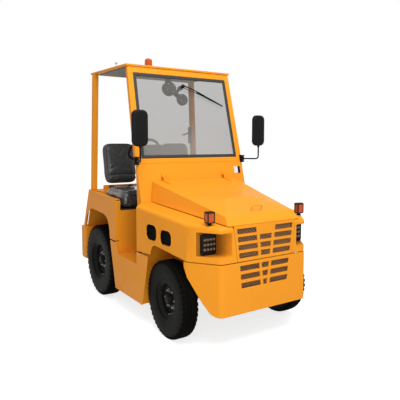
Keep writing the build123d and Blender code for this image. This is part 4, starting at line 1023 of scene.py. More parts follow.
def lamp_pocket():
    """The right headlamp's recess: painted walls with round corners behind the opening."""
    def lip(x):
        return nose_line(-x) + 5.0

    form = Form()
    form.hull([pocket_ring(POCKET_IN, 1.5, 1.0, lip), pocket_ring(POCKET_IN, -2.0, 18.0, lip),
               pocket_ring(POCKET_WALL, -3.0, 18.0, lambda x: POCKET_BACK)], 0, foot=False)
    return form


def lamp_block():
    """The right headlamp: a black housing with a raised rim round rows of dull cups."""
    wide, tall = LAMP_SIZE
    middle = mm(*LAMP_AT)
    face = middle - BACK * 0.005
    outer, inner = rounded_outline(wide, tall, 14), rounded_outline(wide - 14, tall - 14, 9)
    form = Form()
    form.prism(outer, middle, ACROSS, UP, BACK * LAMP_DEEP * MM, 1)
    form.grid([placed(outer, middle, ACROSS, UP), placed(outer, face, ACROSS, UP),
               placed(inner, face, ACROSS, UP), placed(inner, middle, ACROSS, UP)], 1, ring=True)
    for row in range(3):
        for column in range(4):
            right, rise = (column - 1.5) * CUP_STEP[0] + 2.0, (1 - row) * CUP_STEP[1]
            form.lathe(middle + mm(right, -1, rise), -BACK, CUP_LINE, 2, 18)
    return form


def marker_level(z, wide, deep, radius):
    """A level outline of the marker lamp."""
    return placed(rounded_outline(wide, deep, radius), mm(*MARKER_AT, z), ACROSS, BACK)


def marker():
    """The right marker lamp: an amber block in a dark frame with a cap, on a short foot."""
    form = Form()
    form.lathe(mm(*MARKER_AT, MARKER_FOOT), UP, [(0, 0), (0, 20), (3, 20), (5, 12), (14, 12), (14, 0)], 0, 28)
    for low, high, wide, deep in MARKER_PLATES:
        form.hull([marker_level(low, wide - 3, deep - 3, 7), marker_level(low + 1.5, wide, deep, 8),
                   marker_level(high - 3, wide, deep, 8), marker_level(high, wide - 7, deep - 7, 6)])
    for x, y in MARKER_POSTS:
        corner = mm(MARKER_AT[0] + x, MARKER_AT[1] + y, MARKER_LOW + 6)
        form.prism(rounded_outline(8, 8, 2.5), corner, ACROSS, BACK, UP * 0.070)
    form.grid([marker_level(z, wide, wide - 11, 9) for z, wide in MARKER_LENS], 1, ring=True)
    return form


class TUG_OT_headlamps(bpy.types.Operator):
    """Makes the headlamps in their recesses and the marker lamps on the fenders"""

    bl_idname = "tug.headlamps"
    bl_label = "Front lamps"

    def execute(self, context):
        node = ["front_lamps"]
        # The recesses' finish carries painted shade that deepens towards their back.
        lamp_pocket().paired().build("lamp_recesses", [recess_paint], "body_paint", replaces=node)
        lamp_block().paired().build("headlamps", [body_paint, black_plastic, reflector], "black_plastic",
                                    replaces=node, edge=0.8)
        marker().paired().build("marker_lamps", [black_plastic, amber_lens], "black_plastic",
                                replaces=node, edge=0.8)
        return {"FINISHED"}


VENTS = [  # centre y, centre z, length, height
    (-489.0, 785.0, 160.0, 132.0),
    (-682.0, 768.0, 160.0, 128.0),
]
VENT_LIP = [(6.0, 0.2), (5.4, -2.2), (2.0, -3.0), (-2.6, -2.2), (-3.4, 1.0), (-3.4, 9.0)]
LOUVRES, LOUVRE_STEP = 5, 24.0
SKIN_WIDE, SKIN_FROM = 628.0, -276.0
SKIN_TAPER = (SKIN_WIDE - NOSE_CREASE[0]) / (SKIN_FROM - NOSE_CREASE[1])


def vent(form, y, z, length, height):
    """One vent of the right fender: its trim, the box of painted shade behind it and its louvres."""
    ring = rounded_outline(length - 1.0, height - 1.0, 48, 10)

    def spot(a, b, inward):
        skin_x = SKIN_WIDE + SKIN_TAPER * (y + a - SKIN_FROM)
        return mm(inward - skin_x, y + a, z + b)

    def level(scale_a, scale_b, inward):
        return [spot(a * scale_a, b * scale_b, inward) for a, b in ring]

    form.grid([level(1 + 2 * grow / length, 1 + 2 * grow / height, inward) for grow, inward in VENT_LIP],
              1, ring=True)
    # The box behind the opening is near-black painted shade.
    form.hull([level(0.98, 0.98, 7.0), level(1.06, 1.06, 34.0)], 0, foot=False)
    for k in range(LOUVRES):
        rise = (k - LOUVRES // 2) * LOUVRE_STEP
        reach = length / 2 * (1.0 if abs(rise) < 30 else 0.86)
        blade = [spot(-reach, rise - 3, 10), spot(reach, rise - 3, 10),
                 spot(reach, rise + 9, 26), spot(-reach, rise + 9, 26)]
        form.polygon(blade, 2)
        form.polygon([p + UP * 0.0025 for p in blade], 2)


class TUG_OT_vents(bpy.types.Operator):
    """Makes the trims and the dark louvres of the fender's vents"""

    bl_idname = "tug.vents"
    bl_label = "Fender vents"

    def execute(self, context):
        form = Form()
        for row in VENTS:
            vent(form, *row)
        form.paired().build("fender_vents", [dark_void, body_paint, black_plastic], "black_plastic")
        return {"FINISHED"}


# Seats, in metres

SEATS = [  # word, middle x and width of the back, middle x and width of the cushion, in millimetres
    ("right", -345.0, 356.0, -370.0, 410.0),
    ("left", 300.0, 348.0, 330.0, 390.0),
]
PAD_GAP = 14.0
CUSHION_SIZE, CUSHION_SPOT = (0.396, 0.444, 0.156), (361.0, 973.3)
BACK_SIZE, BACK_SPOT = (0.342, 0.418, 0.084), (726.0, 1270.5)
BACK_LEAN = 10.0
CUSHION_LOOP, BACK_LOOP = (0.336, 0.384, 0.05), (0.292, 0.368, 0.055)
VOXEL, CLOTH_FRAMES = 0.008, 20
PIPE_STEP = 0.012

CUSHION_CREASES = [  # across and along of both ends
    (-0.16, -0.15, -0.02, -0.02), (-0.03, -0.19, 0.05, 0.02), (0.14, -0.17, 0.02, 0.05),
    (-0.17, 0.02, -0.05, 0.07), (0.16, 0.04, 0.05, 0.12), (-0.10, 0.18, 0.02, 0.09),
    (0.09, -0.05, 0.17, -0.10),
]
FRONT_CREASES = [  # across and up of both ends
    (-0.17, 0.04, -0.06, -0.03), (-0.05, 0.05, 0.02, -0.05), (0.15, 0.04, 0.07, -0.04),
    (0.02, 0.0, 0.12, -0.05),
]
BACK_CREASES = [  # across and up of both ends
    (0.15, 0.17, 0.01, 0.01), (0.155, 0.11, 0.03, -0.03), (0.155, 0.04, 0.05, -0.06),
    (0.06, 0.18, -0.03, 0.07), (-0.15, -0.08, -0.05, -0.03),
]


def pad_mesh(name, size, corner, crown):
    """A closed pad about the origin: a box with round corners and a crowned face."""
    work = bmesh.new()
    bmesh.ops.create_cube(work, size=2.0)
    bmesh.ops.subdivide_edges(work, edges=work.edges, cuts=15, use_grid_fill=True)
    for vert in work.verts:
        x, y, z = vert.co
        plan = (abs(x) ** corner + abs(y) ** corner) ** (1.0 / corner)
        solid = (plan ** 5.0 + abs(z) ** 5.0) ** 0.2
        x, y, z = x / solid, y / solid, z / solid
        z *= 1.0 - crown * min(1.0, x * x * 0.5 + y * y * 0.5)
        vert.co = (x * size[0] / 2, y * size[1] / 2, z * size[2] / 2)
    mesh = bpy.data.meshes.new(name)
    work.to_mesh(mesh)
    work.free()
    return mesh


def apply_modifiers(piece):
    """Applies all modifiers of a piece to its mesh."""
    graph = bpy.context.evaluated_depsgraph_get()
    mesh = bpy.data.meshes.new_from_object(piece.evaluated_get(graph))
    piece.modifiers.clear()
    piece.data = mesh


def spots_of(mesh):
    """The places of a mesh's vertices, one row each."""
    return np.array([v.co for v in mesh.vertices])


def inflated(piece, swell):
    """Fills a pad like a cushion: a short cloth run whose movement is capped, then applied."""
    remesh = piece.modifiers.new("remesh", "REMESH")
    remesh.mode = "VOXEL"
    remesh.voxel_size = VOXEL
    apply_modifiers(piece)
    rest = spots_of(piece.data)
    cloth = piece.modifiers.new("cloth", "CLOTH")
    cloth.settings.use_pressure = True
    cloth.settings.uniform_pressure_force = 4.0
    cloth.settings.quality = 4
    cloth.settings.effector_weights.gravity = 0.0
    cloth.settings.shrink_min = -0.02
    cloth.collision_settings.use_collision = False
    scene = bpy.context.scene
    for number in range(1, CLOTH_FRAMES + 1):
        scene.frame_set(number)
    apply_modifiers(piece)
    scene.frame_set(1)
    move = spots_of(piece.data) - rest
    far = np.linalg.norm(move, axis=1, keepdims=True)
    move *= np.minimum(1.0, swell / np.maximum(far, 1e-9))
    piece.data.vertices.foreach_set("co", (rest + move).ravel())
    piece.data.update()


def sewn(mesh, seams):
    """Presses seams into a pad: seams is a function of (x, y, z) that gives depths."""
    normals = np.zeros(len(mesh.vertices) * 3)
    mesh.vertices.foreach_get("normal", normals)
    points = spots_of(mesh)
    depth = seams(points[:, 0], points[:, 1], points[:, 2])
    mesh.vertices.foreach_set("co", (points - normals.reshape(-1, 3) * depth[:, None]).ravel())
    mesh.update()


def ramp(value, start, run):
    """A straight ramp from 0 at start to 1 after a run."""
    return np.clip((value - start) / run, 0.0, 1.0)


def groove(distance, width, depth):
    """A rounded groove for distances from its middle line."""
    return depth * np.exp(-(distance / width) ** 2)


def loop_distance(x, y, wide, tall, radius):
    """How far points are from the line of a rectangle with round corners."""
    dx = np.abs(x) - (wide / 2 - radius)
    dy = np.abs(y) - (tall / 2 - radius)
    outside = np.hypot(np.maximum(dx, 0), np.maximum(dy, 0))
    inside = np.minimum(np.maximum(dx, dy), 0)
    return np.abs(outside + inside - radius)


def creases(u, v, table, width, depth):
    """Depth of creases along straight runs that fade towards their ends."""
    total = np.zeros(len(u))
    for u0, v0, u1, v1 in table:
        run = np.array((u1 - u0, v1 - v0))
        near = ramp((u - u0) * run[0] + (v - v0) * run[1], 0.0, run @ run)
        gap = np.hypot(u - u0 - near * run[0], v - v0 - near * run[1])
        total = np.maximum(total, groove(gap, width, depth) * (1.0 - 0.7 * near))
    return total


def cushion_seams(x, y, z):
    """Depths on a cushion: a loop on its face, a seam round its waist and its wrapping's creases."""
    loop = groove(loop_distance(x, y, *CUSHION_LOOP), 0.007, 0.006) * ramp(z, 0.03, 0.03)
    waist = groove(z + 0.030, 0.006, 0.0035)
    top = creases(x, y, CUSHION_CREASES, 0.012, 0.007) * ramp(z, 0.02, 0.03)
    front = creases(x, z, FRONT_CREASES, 0.010, 0.006) * ramp(-y, 0.15, 0.03)
    return np.maximum.reduce([loop, waist, top, front])


def back_seams(x, y, z):
    """Depths on a back: a loop on its face, the pleat above the waist and slanted creases."""
    loop = groove(loop_distance(x, y, *BACK_LOOP), 0.007, 0.0055)
    pleat = groove(y + 0.118 + 0.35 * x * x, 0.008, 0.010)
    folds = creases(x, y, BACK_CREASES, 0.009, 0.006)
    return np.maximum.reduce([loop, pleat, folds]) * ramp(z, 0.0, 0.02)


def make_pad(name, size, corner, crown, swell, seams):
    """The mesh of one pad after filling, sewing and one subdivision."""
    piece = linked(name, pad_mesh(name, size, corner, crown))
    inflated(piece, swell)
    sewn(piece.data, seams)
    smooth = piece.modifiers.new("smooth", "SUBSURF")
    smooth.levels = smooth.render_levels = 1
    apply_modifiers(piece)
    mesh = piece.data
    for face in mesh.polygons:
        face.use_smooth = True
    bpy.data.objects.remove(piece)
    return mesh


def piping(mesh, wide, tall, radius):
    """A cord of piping that lies in the seam round a pad's face."""
    pipe = settings().pipe
    tree = BVHTree.FromPolygons([v.co for v in mesh.vertices], [p.vertices for p in mesh.polygons])
    corners = [Vector((a, b, 0.0)) for a, b in rounded_outline(wide, tall, radius, 12)]
    path = []
    for start, end in zip(corners, corners[1:] + corners[:1]):
        parts = max(1, int((end - start).length / PIPE_STEP))
        for i in range(parts):
            spot = start.lerp(end, i / parts)
            hit = tree.ray_cast(spot + UP * 0.2, -UP)[0]
            path.append((spot if hit is None else hit) + UP * pipe * 0.35)
    rows = []
    for i, point in enumerate(path):
        run = (path[(i + 1) % len(path)] - path[i - 1]).normalized()
        across = run.cross(UP).normalized()
        up = across.cross(run)
        rows.append([point + (across * c + up * s) * pipe for c, s in turned(8)])
    form = Form()
    form.grid(rows, 0, ring=True, loop=True)
    return form


def seat_piece(name, mesh, matrix, makers, rim, node):
    """A pad and its piping, placed in the vehicle and joined into one object."""
    mesh.transform(matrix)
    work = bmesh.new()
    work.from_mesh(mesh)
    verts = [work.verts.new(matrix @ p) for p in rim.points]
    for face in rim.faces:
        made = work.faces.new([verts[i] for i in face])
        made.material_index = 1
        made.smooth = True
    bmesh.ops.recalc_face_normals(work, faces=work.faces)
    work.to_mesh(mesh)
    work.free()
    mesh.materials.clear()
    for maker in makers:
        mesh.materials.append(made_of(maker))
    pad = linked(name, mesh)
    place_piece(pad, "chassis", [node])


def fitted(x, spot, wide, size):
    """Moves a pad to its place and stretches it to a seat's width."""
    stretch = Matrix.Scale((wide - PAD_GAP) * MM / size[0], 4, ACROSS)
    return Matrix.Translation(mm(x, *spot)) @ stretch


class TUG_OT_seats(bpy.types.Operator):
    """Makes both seats: filled and sewn cushions and backs with piping"""

    bl_idname = "tug.seats"
    bl_label = "Seats"

    def execute(self, context):
        cushion = make_pad("cushion", CUSHION_SIZE, 7.0, 0.08, 0.008, cushion_seams)
        back = make_pad("back", BACK_SIZE, 6.0, 0.12, 0.010, back_seams)
        cushion_rim, back_rim = piping(cushion, *CUSHION_LOOP), piping(back, *BACK_LOOP)
        rise = Matrix.Rotation(math.radians(90 - BACK_LEAN), 4, "X")
        for word, back_x, back_wide, cushion_x, cushion_wide in SEATS:
            place = fitted(cushion_x, CUSHION_SPOT, cushion_wide, CUSHION_SIZE)
            seat_piece("seat_cushion_" + word, cushion.copy(), place, [wrapped_vinyl, seat_vinyl],
                       cushion_rim, "seat_cushions")
            place = fitted(back_x, BACK_SPOT, back_wide, BACK_SIZE) @ rise
            seat_piece("seat_back_" + word, back.copy(), place, [seat_vinyl, seat_vinyl],
                       back_rim, "seat_backs")
        bpy.data.meshes.remove(cushion)
        bpy.data.meshes.remove(back)
        return {"FINISHED"}


# Mirrors

MIRRORS = [  # name, side, swing pin x and y, stem x and y
    ("right", -1, 552.0, -150.0, 622.0, -355.0),
    ("left", 1, 552.0, -150.0, 652.0, -262.0),
]
HEAD_Z, HEAD_SIZE, HEAD_CORNER = 1599.0, (138.0, 288.0), 46.0
HEAD_LINE = [  # how far in from the outline, how far to the front
    (9, -14.5), (5.5, -16.5), (2, -15.5), (0, -11), (0, -3), (1.5, 4), (6, 10.5), (14, 14.5), (27, 16.4),
    (44, 17.0),
]
ARM_Z, STEM_TOP, CLAMP_Z = 1331.0, 1492.0, 1440.0
PIN_LINE = [(0, 7.5), (0, 12), (2, 14), (32, 14), (34, 12), (34, 7.5)]
CLAMP_LINE = [(0, 7.2), (0, 10), (12, 12), (22, 13), (22, 0)]


def mirror_head(form, x, y):
    """The rounded head with its glass on the rear."""
    centre = mm(x, y, HEAD_Z)
    rows = []
    for inset, ahead in HEAD_LINE:
        wide, tall = HEAD_SIZE[0] - inset * 2, HEAD_SIZE[1] - inset * 2
        ring = rounded_outline(wide, tall, max(4.0, HEAD_CORNER - inset), 10)
        rows.append(placed(ring, centre - BACK * ahead * MM, ACROSS, UP))
    form.hull(rows, 0, foot=False)
    form.polygon(rows[0][::-1], 1)


class TUG_OT_mirrors(bpy.types.Operator):
    """Makes both mirrors: head, glass, arm and clamp"""

    bl_idname = "tug.mirrors"
    bl_label = "Mirrors"

    def execute(self, context):
        for name, side, pin_x, pin_y, stem_x, stem_y in MIRRORS:
            pin, stem = (side * pin_x, pin_y), (side * stem_x, stem_y)
            form = Form()
            mirror_head(form, *stem)
            path = eased_path([mm(*pin, ARM_Z), mm(*stem, ARM_Z), mm(*stem, STEM_TOP)], 30.0)
            form.tube(path, 7.0, 0, 14)
            form.lathe(mm(*pin, ARM_Z - 17), UP, PIN_LINE, 0, 24)
            form.lathe(mm(*stem, CLAMP_Z), UP, CLAMP_LINE, 0, 20)
            form.build("mirror_%s_dressed" % name, [black_plastic, silver_glass], "black_plastic",
                       "mirror_" + name, ["mirror_" + name])
        return {"FINISHED"}


# Wiper and its motor

PIN, TIP, HEEL = (-9.0, 1992.0), (412.0, 1830.0), (135.0, 1944.0)
BLADE_MIDDLE = ((TIP[0] + HEEL[0]) / 2, (TIP[1] + HEEL[1]) / 2)
SPINDLE_LINE = [(0, 0), (0, 6), (44, 6), (44, 17), (50, 18), (60, 16), (64, 10), (64, 0)]
TWIN_ARMS = [  # rise of the start, rise of the bow, radius
    (4.0, 16.0, 9.0),
    (-16.0, -8.0, 5.0),
]
BRIDGE = [(0.2, 13), (0.35, 18), (0.5, 20), (0.65, 18), (0.8, 13)]
HOUSINGS = [  # x, z, radius, depth
    (-118.0, 1985.0, 65.0, 64.0),
    (2.0, 1888.0, 53.0, 50.0),
]
NECK_LINE = [(0, 6.5), (0, 18), (3, 20), (42, 20), (44, 16), (44, 0)]
BRACKET = [(-150.0, 1990.0), (-90.0, 1990.0), (-90.0, 2138.0), (-150.0, 2138.0)]


def wiper_arm():
    """The spindle, the twin arm and the blade in front of the glass."""
    arm = Form()
    arm.lathe(on_screen(*PIN, -34), SCREEN_OUT, SPINDLE_LINE, 0, 24)
    for shift, lift, radius in TWIN_ARMS:
        start, end = on_screen(PIN[0] + 6, PIN[1] + shift, 23), on_screen(*BLADE_MIDDLE, 19)
        half = on_screen((PIN[0] + BLADE_MIDDLE[0]) / 2, (PIN[1] + BLADE_MIDDLE[1]) / 2 + lift, 22)
        arm.tube(bowed(start, half, end, 8), [radius * (1.0 - 0.05 * i) for i in range(9)], 0, 10, 0.6)
    low, high = on_screen(*HEEL, 12), on_screen(*TIP, 12)
    arm.tube([low.lerp(high, i / 4) for i in range(5)], [4, 9, 12, 9, 4], 0, 10, 0.7)
    arm.tube([on_screen(*HEEL, 6), on_screen(*TIP, 6)], 4.5, 0, 8)
    bridge = [on_screen(HEEL[0] + (TIP[0] - HEEL[0]) * share, HEEL[1] + (TIP[1] - HEEL[1]) * share, out)
              for share, out in BRIDGE]
    arm.tube(bridge, 4, 0, 8)
    return arm


def wiper_motor():
    """The two round housings behind the glass with their link, neck and bracket."""
    motor = Form()
    for x, z, radius, depth in HOUSINGS:
        shares = [(0, 0), (0, 0.72), (3, 0.90), (10, 0.985), (18, 1), (24, 0.97), (30, 1), (depth - 10, 0.97),
                  (depth - 2, 0.86), (depth, 0.7), (depth, 0)]
        profile = [(along, radius * share) for along, share in shares]
        motor.lathe(on_screen(x, z, -20), -SCREEN_OUT, profile, 0, 48)
        for c, s in turned(4, 30.0):
            spot = on_screen(x + radius * 0.62 * c, z + radius * 0.62 * s, -20.4)
            motor.bolt(spot, SCREEN_OUT, 4.5, 1)
    motor.tube([on_screen(x, z, -44) for x, z, *_ in HOUSINGS], 22, 0, 20)
    motor.lathe(on_screen(*PIN, -16), -SCREEN_OUT, NECK_LINE, 0, 28)
    motor.tube([on_screen(*PIN, -48), on_screen(-60, 1940, -48)], 14, 0, 14)
    motor.hull([[on_screen(x, z, out) for x, z in BRACKET] for out in (-42.3, -54)], 2)
    for x in (-135, -105):
        motor.bolt(on_screen(x, 2118, -54), -SCREEN_OUT, 6, 1)
    return motor


class TUG_OT_wiper(bpy.types.Operator):
    """Makes the wiper with its twin arm and blade, and the motor housings behind the glass"""

    bl_idname = "tug.wiper"
    bl_label = "Wiper"

    def execute(self, context):
        wiper_arm().build("wiper_dressed", [black_plastic], "black_plastic", "wiper", ["wiper"])
        wiper_motor().build("wiper_motor_dressed", [grey_plastic, zinc, frame_metal], "black_plastic",
                            replaces=["wiper_motor"], edge=0.8, sharp=32.0)
        return {"FINISHED"}


# Glass, roof and roof fittings

class TUG_OT_glass(bpy.types.Operator):
    """Gives the windscreen its glass"""

    bl_idname = "tug.glass"
    bl_label = "Windscreen glass"

    def execute(self, context):
        for slot in frame["nodes"]["windscreen_glass"].material_slots:
            slot.material = made_of(screen_glass)
        return {"FINISHED"}


BEACON_AT, MAST_AT, KNOB_AT = (-270.0, 200.0), (-520.0, 350.0), (330.0, 160.0)
BEACON_FOOT = [(0, 0), (0, 40), (7, 40), (11, 37), (12, 0)]
BEACON_WALL = [(12, 30), (13, 33), (60, 32.5), (68, 31), (76, 26), (81, 16), (83, 0)]
FLUTED_FROM, FLUTED_TO = 12, 70
FLUTES, BEACON_STEPS = 24, 72
MAST_LINE = [(0, 0), (0, 9), (4, 8), (5, 4.5), (30, 4.5), (30, 0)]
KNOB_LINE = [(0, 0), (0, 14), (8, 13), (14, 9), (16, 0)]
LINER_LOW, LINER_HIGH = (-514, 136, 2136.5), (514, 776, 2144.2)
LINER_RIBS, RIB_LOW, RIB_HIGH = (-300, -100, 100, 300), (-3, 138, 2134.5), (3, 774, 2137)


def half_turn(steps=12):
    """Cosine and sine at even steps over half a circle."""
    return [(math.cos(math.pi * i / steps), math.sin(math.pi * i / steps)) for i in range(steps + 1)]


def beacon(form, spot):
    """The beacon: a black foot and a fluted amber dome."""
    form.lathe(spot, UP, BEACON_FOOT, 1, 40)
    ring = turned(BEACON_STEPS)
    rows = []
    for along, radius in BEACON_WALL:
        wave = 1.0 if FLUTED_FROM < along < FLUTED_TO else 0.0
        reach = [(radius + wave * ring[i * FLUTES % BEACON_STEPS][0]) * MM for i in range(BEACON_STEPS)]
        level = spot + UP * (along * MM)
        rows.append([level + (ACROSS * c + BACK * s) * far for (c, s), far in zip(ring, reach)])
    form.grid(rows, 0, ring=True)


class TUG_OT_roof(bpy.types.Operator):
    """Makes the roof's liner, the beacon and the aerial fittings"""

    bl_idname = "tug.roof"
    bl_label = "Roof fittings"

    def execute(self, context):
        form = Form()
        form.box(LINER_LOW, LINER_HIGH)
        for x in LINER_RIBS:
            form.box((x + RIB_LOW[0], *RIB_LOW[1:]), (x + RIB_HIGH[0], *RIB_HIGH[1:]))
        form.build("roof_liner", [liner], "black_plastic", edge=2.0)
        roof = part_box("roof_panel")[1].z / MM
        lamp = Form()
        beacon(lamp, mm(*BEACON_AT, roof))
        mast = mm(*MAST_AT, roof)
        lamp.lathe(mast, UP, MAST_LINE, 2, 20)
        lamp.lathe(mast, UP, [(40 - 13 * c, 13 * s) for c, s in half_turn()], 2, 24)
        lamp.lathe(mm(*KNOB_AT, roof), UP, KNOB_LINE, 1, 24)
        lamp.build("beacon_dressed", [amber_lens, black_plastic, zinc], "amber_lens",
                   replaces=["beacon_and_aerials"])
        return {"FINISHED"}


# Driver's place

COLUMN_TOP, COLUMN_LEAN = (-368.0, 120.0, 1417.0), math.radians(42.0)
COLUMN_UP = Vector((0.0, math.sin(COLUMN_LEAN), math.cos(COLUMN_LEAN)))
RIM_REACH, RIM_RADIUS, RIM_STEPS = 137.0, 11.8, 120
GRIPS, GRIP_WAVE = 40, 1.2
SPOKE_LINE = [(30, -10), (60, -8), (100, -3), (134, 0)]
HUB_LINE = [(0, 0), (0, 36), (4, 46), (22, 56), (30, 56), (36, 50), (40, 36), (42, 18), (42, 0)]
JACKET_LINE = [(0, 11.2), (0, 22), (4, 24), (120, 24), (126, 30), (190, 33), (200, 30), (204, 11.2)]


def on_column(along):
    """A point on the steering column, in millimetres from its top."""
    return mm(*COLUMN_TOP) + COLUMN_UP * (along * MM)


class TUG_OT_steering(bpy.types.Operator):
    """Makes the steering wheel with its grips, spokes and horn pad"""

    bl_idname = "tug.steering"
    bl_label = "Steering wheel"

    def execute(self, context):
        form = Form()
        ahead = COLUMN_UP.cross(ACROSS)
        centre = on_column(0)
        rim = turned(RIM_STEPS)
        rows = []
        for i, (c, s) in enumerate(rim):
            out = ACROSS * c + ahead * s
            wave = GRIP_WAVE * rim[i * GRIPS % RIM_STEPS][0]
            row = []
            for near, high in turned(14):
                radius = RIM_RADIUS + wave * max(0.0, -high)
                row.append(centre + (out * (RIM_REACH + radius * near) + COLUMN_UP * radius * high) * MM)
            rows.append(row)
        form.grid(rows, 0, ring=True, loop=True)
        for c, s in turned(3, 90.0):
            path = placed(SPOKE_LINE, centre, ACROSS * c + ahead * s, COLUMN_UP)
            form.tube(path, [30, 26, 22, 24], 0, 16, 0.28)
        form.lathe(on_column(-28), COLUMN_UP, HUB_LINE, 0, 40)
        form.lathe(on_column(13), COLUMN_UP, [(0, 20), (1, 22), (2, 20), (2, 0)], 1, 32)
        form.tube([on_column(-230), on_column(-20)], 11, 1, 16)
        form.build("steering_wheel_dressed", [black_plastic, bare_steel], "black_plastic",
                   "steering_wheel", ["steering_wheel"])
        return {"FINISHED"}


DASH_LOW, DASH_HIGH = mm(0, -30, 1323), mm(0, -20, 1440)
DASH_UP = (DASH_HIGH - DASH_LOW).normalized()
DASH_OUT = DASH_UP.cross(ACROSS).normalized()
DIALS = [  # x, rise, radius, marks, needle in degrees
    (-413, 58, 34, 13, 40),
    (-325, 58, 34, 11, 120),
    (-369, 98, 12, 5, 80),
]
PILOTS, PILOT_FIRST, PILOT_STEP, PILOT_LINE = 5, -441, 36, [(0, 5), (2, 4.5), (2.5, 0)]
SWITCHES = (-180, -130, -80, -30)
KEY_AT, KEY_LINE = (40, -22.5, 1240), [(0, 16), (4, 16), (6, 12), (14, 12), (16, 0)]


def on_dash(x, rise, out):
    """A point on the face of the dashboard."""
    return DASH_LOW + mm(x, 0, 0) + (DASH_UP * rise + DASH_OUT * out) * MM


def gauge(form, centre, radius, marks, needle):
    """A round dial with ticks and a needle."""
    across = -ACROSS
    up = DASH_OUT.cross(across)

    def arm(degrees, outline, lift, thick):
        angle = math.radians(degrees)
        out = across * math.cos(angle) + up * math.sin(angle)
        form.prism(outline, centre + DASH_OUT * lift * MM, out, DASH_OUT.cross(out), DASH_OUT * thick * MM, 2)

    bezel = [(0, radius * 1.14), (4, radius * 1.14), (5, radius * 1.08), (5, radius), (1.5, radius * 0.97),
             (1.5, 0)]
    form.lathe(centre, DASH_OUT, bezel, 0, 40)
    form.lathe(centre + DASH_OUT * 0.0017, DASH_OUT, [(0, radius * 0.96), (0.2, 0)], 1, 40)
    for i in range(marks):
        near, far = radius * (0.80 if i % 2 else 0.72), radius * 0.92
        arm(-30 + 240 * i / (marks - 1), [(near, -0.5), (far, -0.5), (far, 0.5), (near, 0.5)], 2.1, 0.3)
    tail, tip = -radius * 0.15, radius * 0.7
    arm(needle, [(tail, -0.9), (tip, -0.3), (tip, 0.3), (tail, 0.9)], 2.6, 0.4)
    form.lathe(centre + DASH_OUT * 0.0022, DASH_OUT, [(0, 3), (1.8, 2.6), (1.8, 0)], 0, 12)


class TUG_OT_dash(bpy.types.Operator):
    """Dresses the dashboard and adds its dials, lamps and switches"""

    bl_idname = "tug.dash"
    bl_label = "Dashboard"

    def execute(self, context):
        dressed("dashboard", black_plastic, "black_plastic", 6.0)
        form = Form()
        for x, rise, *dial in DIALS:
            gauge(form, on_dash(x, rise, 0.8), *dial)
        for i in range(PILOTS):
            spot = on_dash(PILOT_FIRST + i * PILOT_STEP, 12, 0.6)
            form.lathe(spot, DASH_OUT, PILOT_LINE, 3 if i % 2 else 4, 14)
        for x in SWITCHES:
            form.box((x - 15, -26, 1226), (x + 15, -17, 1258))
            form.box((x - 10, -20, 1231), (x + 10, -13, 1253))
        form.lathe(mm(*KEY_AT), BACK, KEY_LINE, 5, 28)
        form.build("dials_and_switches", [black_plastic, gauge_face, gauge_mark, amber_lens, red_lens, zinc],
                   "black_plastic", edge=0.6)
        return {"FINISHED"}


PEDAL_ARM = [(-110, 1079.7), (-80, 1079.7), (-200, 640), (-226, 640)]
PEDAL_PAD = [(-222, 590), (-204, 585), (-190, 655), (-208, 660)]
PEDAL_RIB = [(0, 0), (56, 0), (56, 4), (0, 4)]
PEDALS = (-400.0, -300.0)
LEVERS = [  # x, y, finish of the knob
    (-60.0, -30.0, 0),
    (60.0, 10.0, 3),
]
MAT_LOW, MAT_HIGH = (-470, -280, 490.2), (470, 110, 493.6)
MAT_RIBS, MAT_RIB_FIRST, MAT_RIB_STEP = 39, -462, 24.3


def pedal(form, x):
    """A hanging pedal: its arm and its ribbed pad."""
    form.prism(PEDAL_ARM, mm(x - 7, 0, 0), BACK, UP, mm(14, 0, 0), 1)
    form.prism(PEDAL_PAD, mm(x - 31, 0, 0), BACK, UP, mm(62, 0, 0), 2)
    low, high = mm(x - 28, *PEDAL_PAD[1]), mm(x - 28, *PEDAL_PAD[2])
    run = (high - low).normalized()
    for k in range(6):
        form.prism(PEDAL_RIB, low + run * (8 + 11 * k) * MM, ACROSS, run, run.cross(ACROSS) * 0.0025, 2)


def lever(form, x, y, kind):
    """A floor lever with its gaiter and its knob."""
    gaiter = [(0, 34), (6, 34)]
    for k in range(5):
        gaiter += [(12 + k * 9, 30 - k * 4.5), (16 + k * 9, 25 - k * 4)]
    form.lathe(mm(x, y, 490.5), UP, gaiter + [(60, 9), (60, 0)], 2, 32)
    start, end = mm(x, y, 510), mm(x, y + 60, 820)
    form.tube([start, end], [8, 7], 1, 14)
    form.lathe(end, end - start, [(18 * (1 - c) - 16, 19 * s ** 0.8) for c, s in half_turn()], kind, 28)


class TUG_OT_controls(bpy.types.Operator):
    """Makes the column's jacket, the pedals and the levers"""

    bl_idname = "tug.controls"
    bl_label = "Pedals and levers"

    def execute(self, context):
        form = Form()
        form.lathe(on_column(-250), COLUMN_UP, JACKET_LINE, 0, 36)
        for x in PEDALS:
            pedal(form, x)
        for row in LEVERS:
            lever(form, *row)
        form.build("driver_controls_dressed", [black_plastic, frame_metal, mat_rubber, red_lens],
                   "black_plastic", replaces=["driver_controls"], edge=1.2)
        return {"FINISHED"}


class TUG_OT_floor(bpy.types.Operator):
    """Makes the ribbed floor mat"""

    bl_idname = "tug.floor_mat"
    bl_label = "Floor mat"

    def execute(self, context):
        form = Form()
        form.box(MAT_LOW, MAT_HIGH)
        for i in range(MAT_RIBS):
            x = MAT_RIB_FIRST + i * MAT_RIB_STEP
            form.box((x - 5, -274, 493), (x + 5, 104, 496.2))
        form.build("floor_mat", [mat_rubber], "seal_rubber", edge=0.8, parts=1)
        return {"FINISHED"}


# Tail, bolts and small fittings

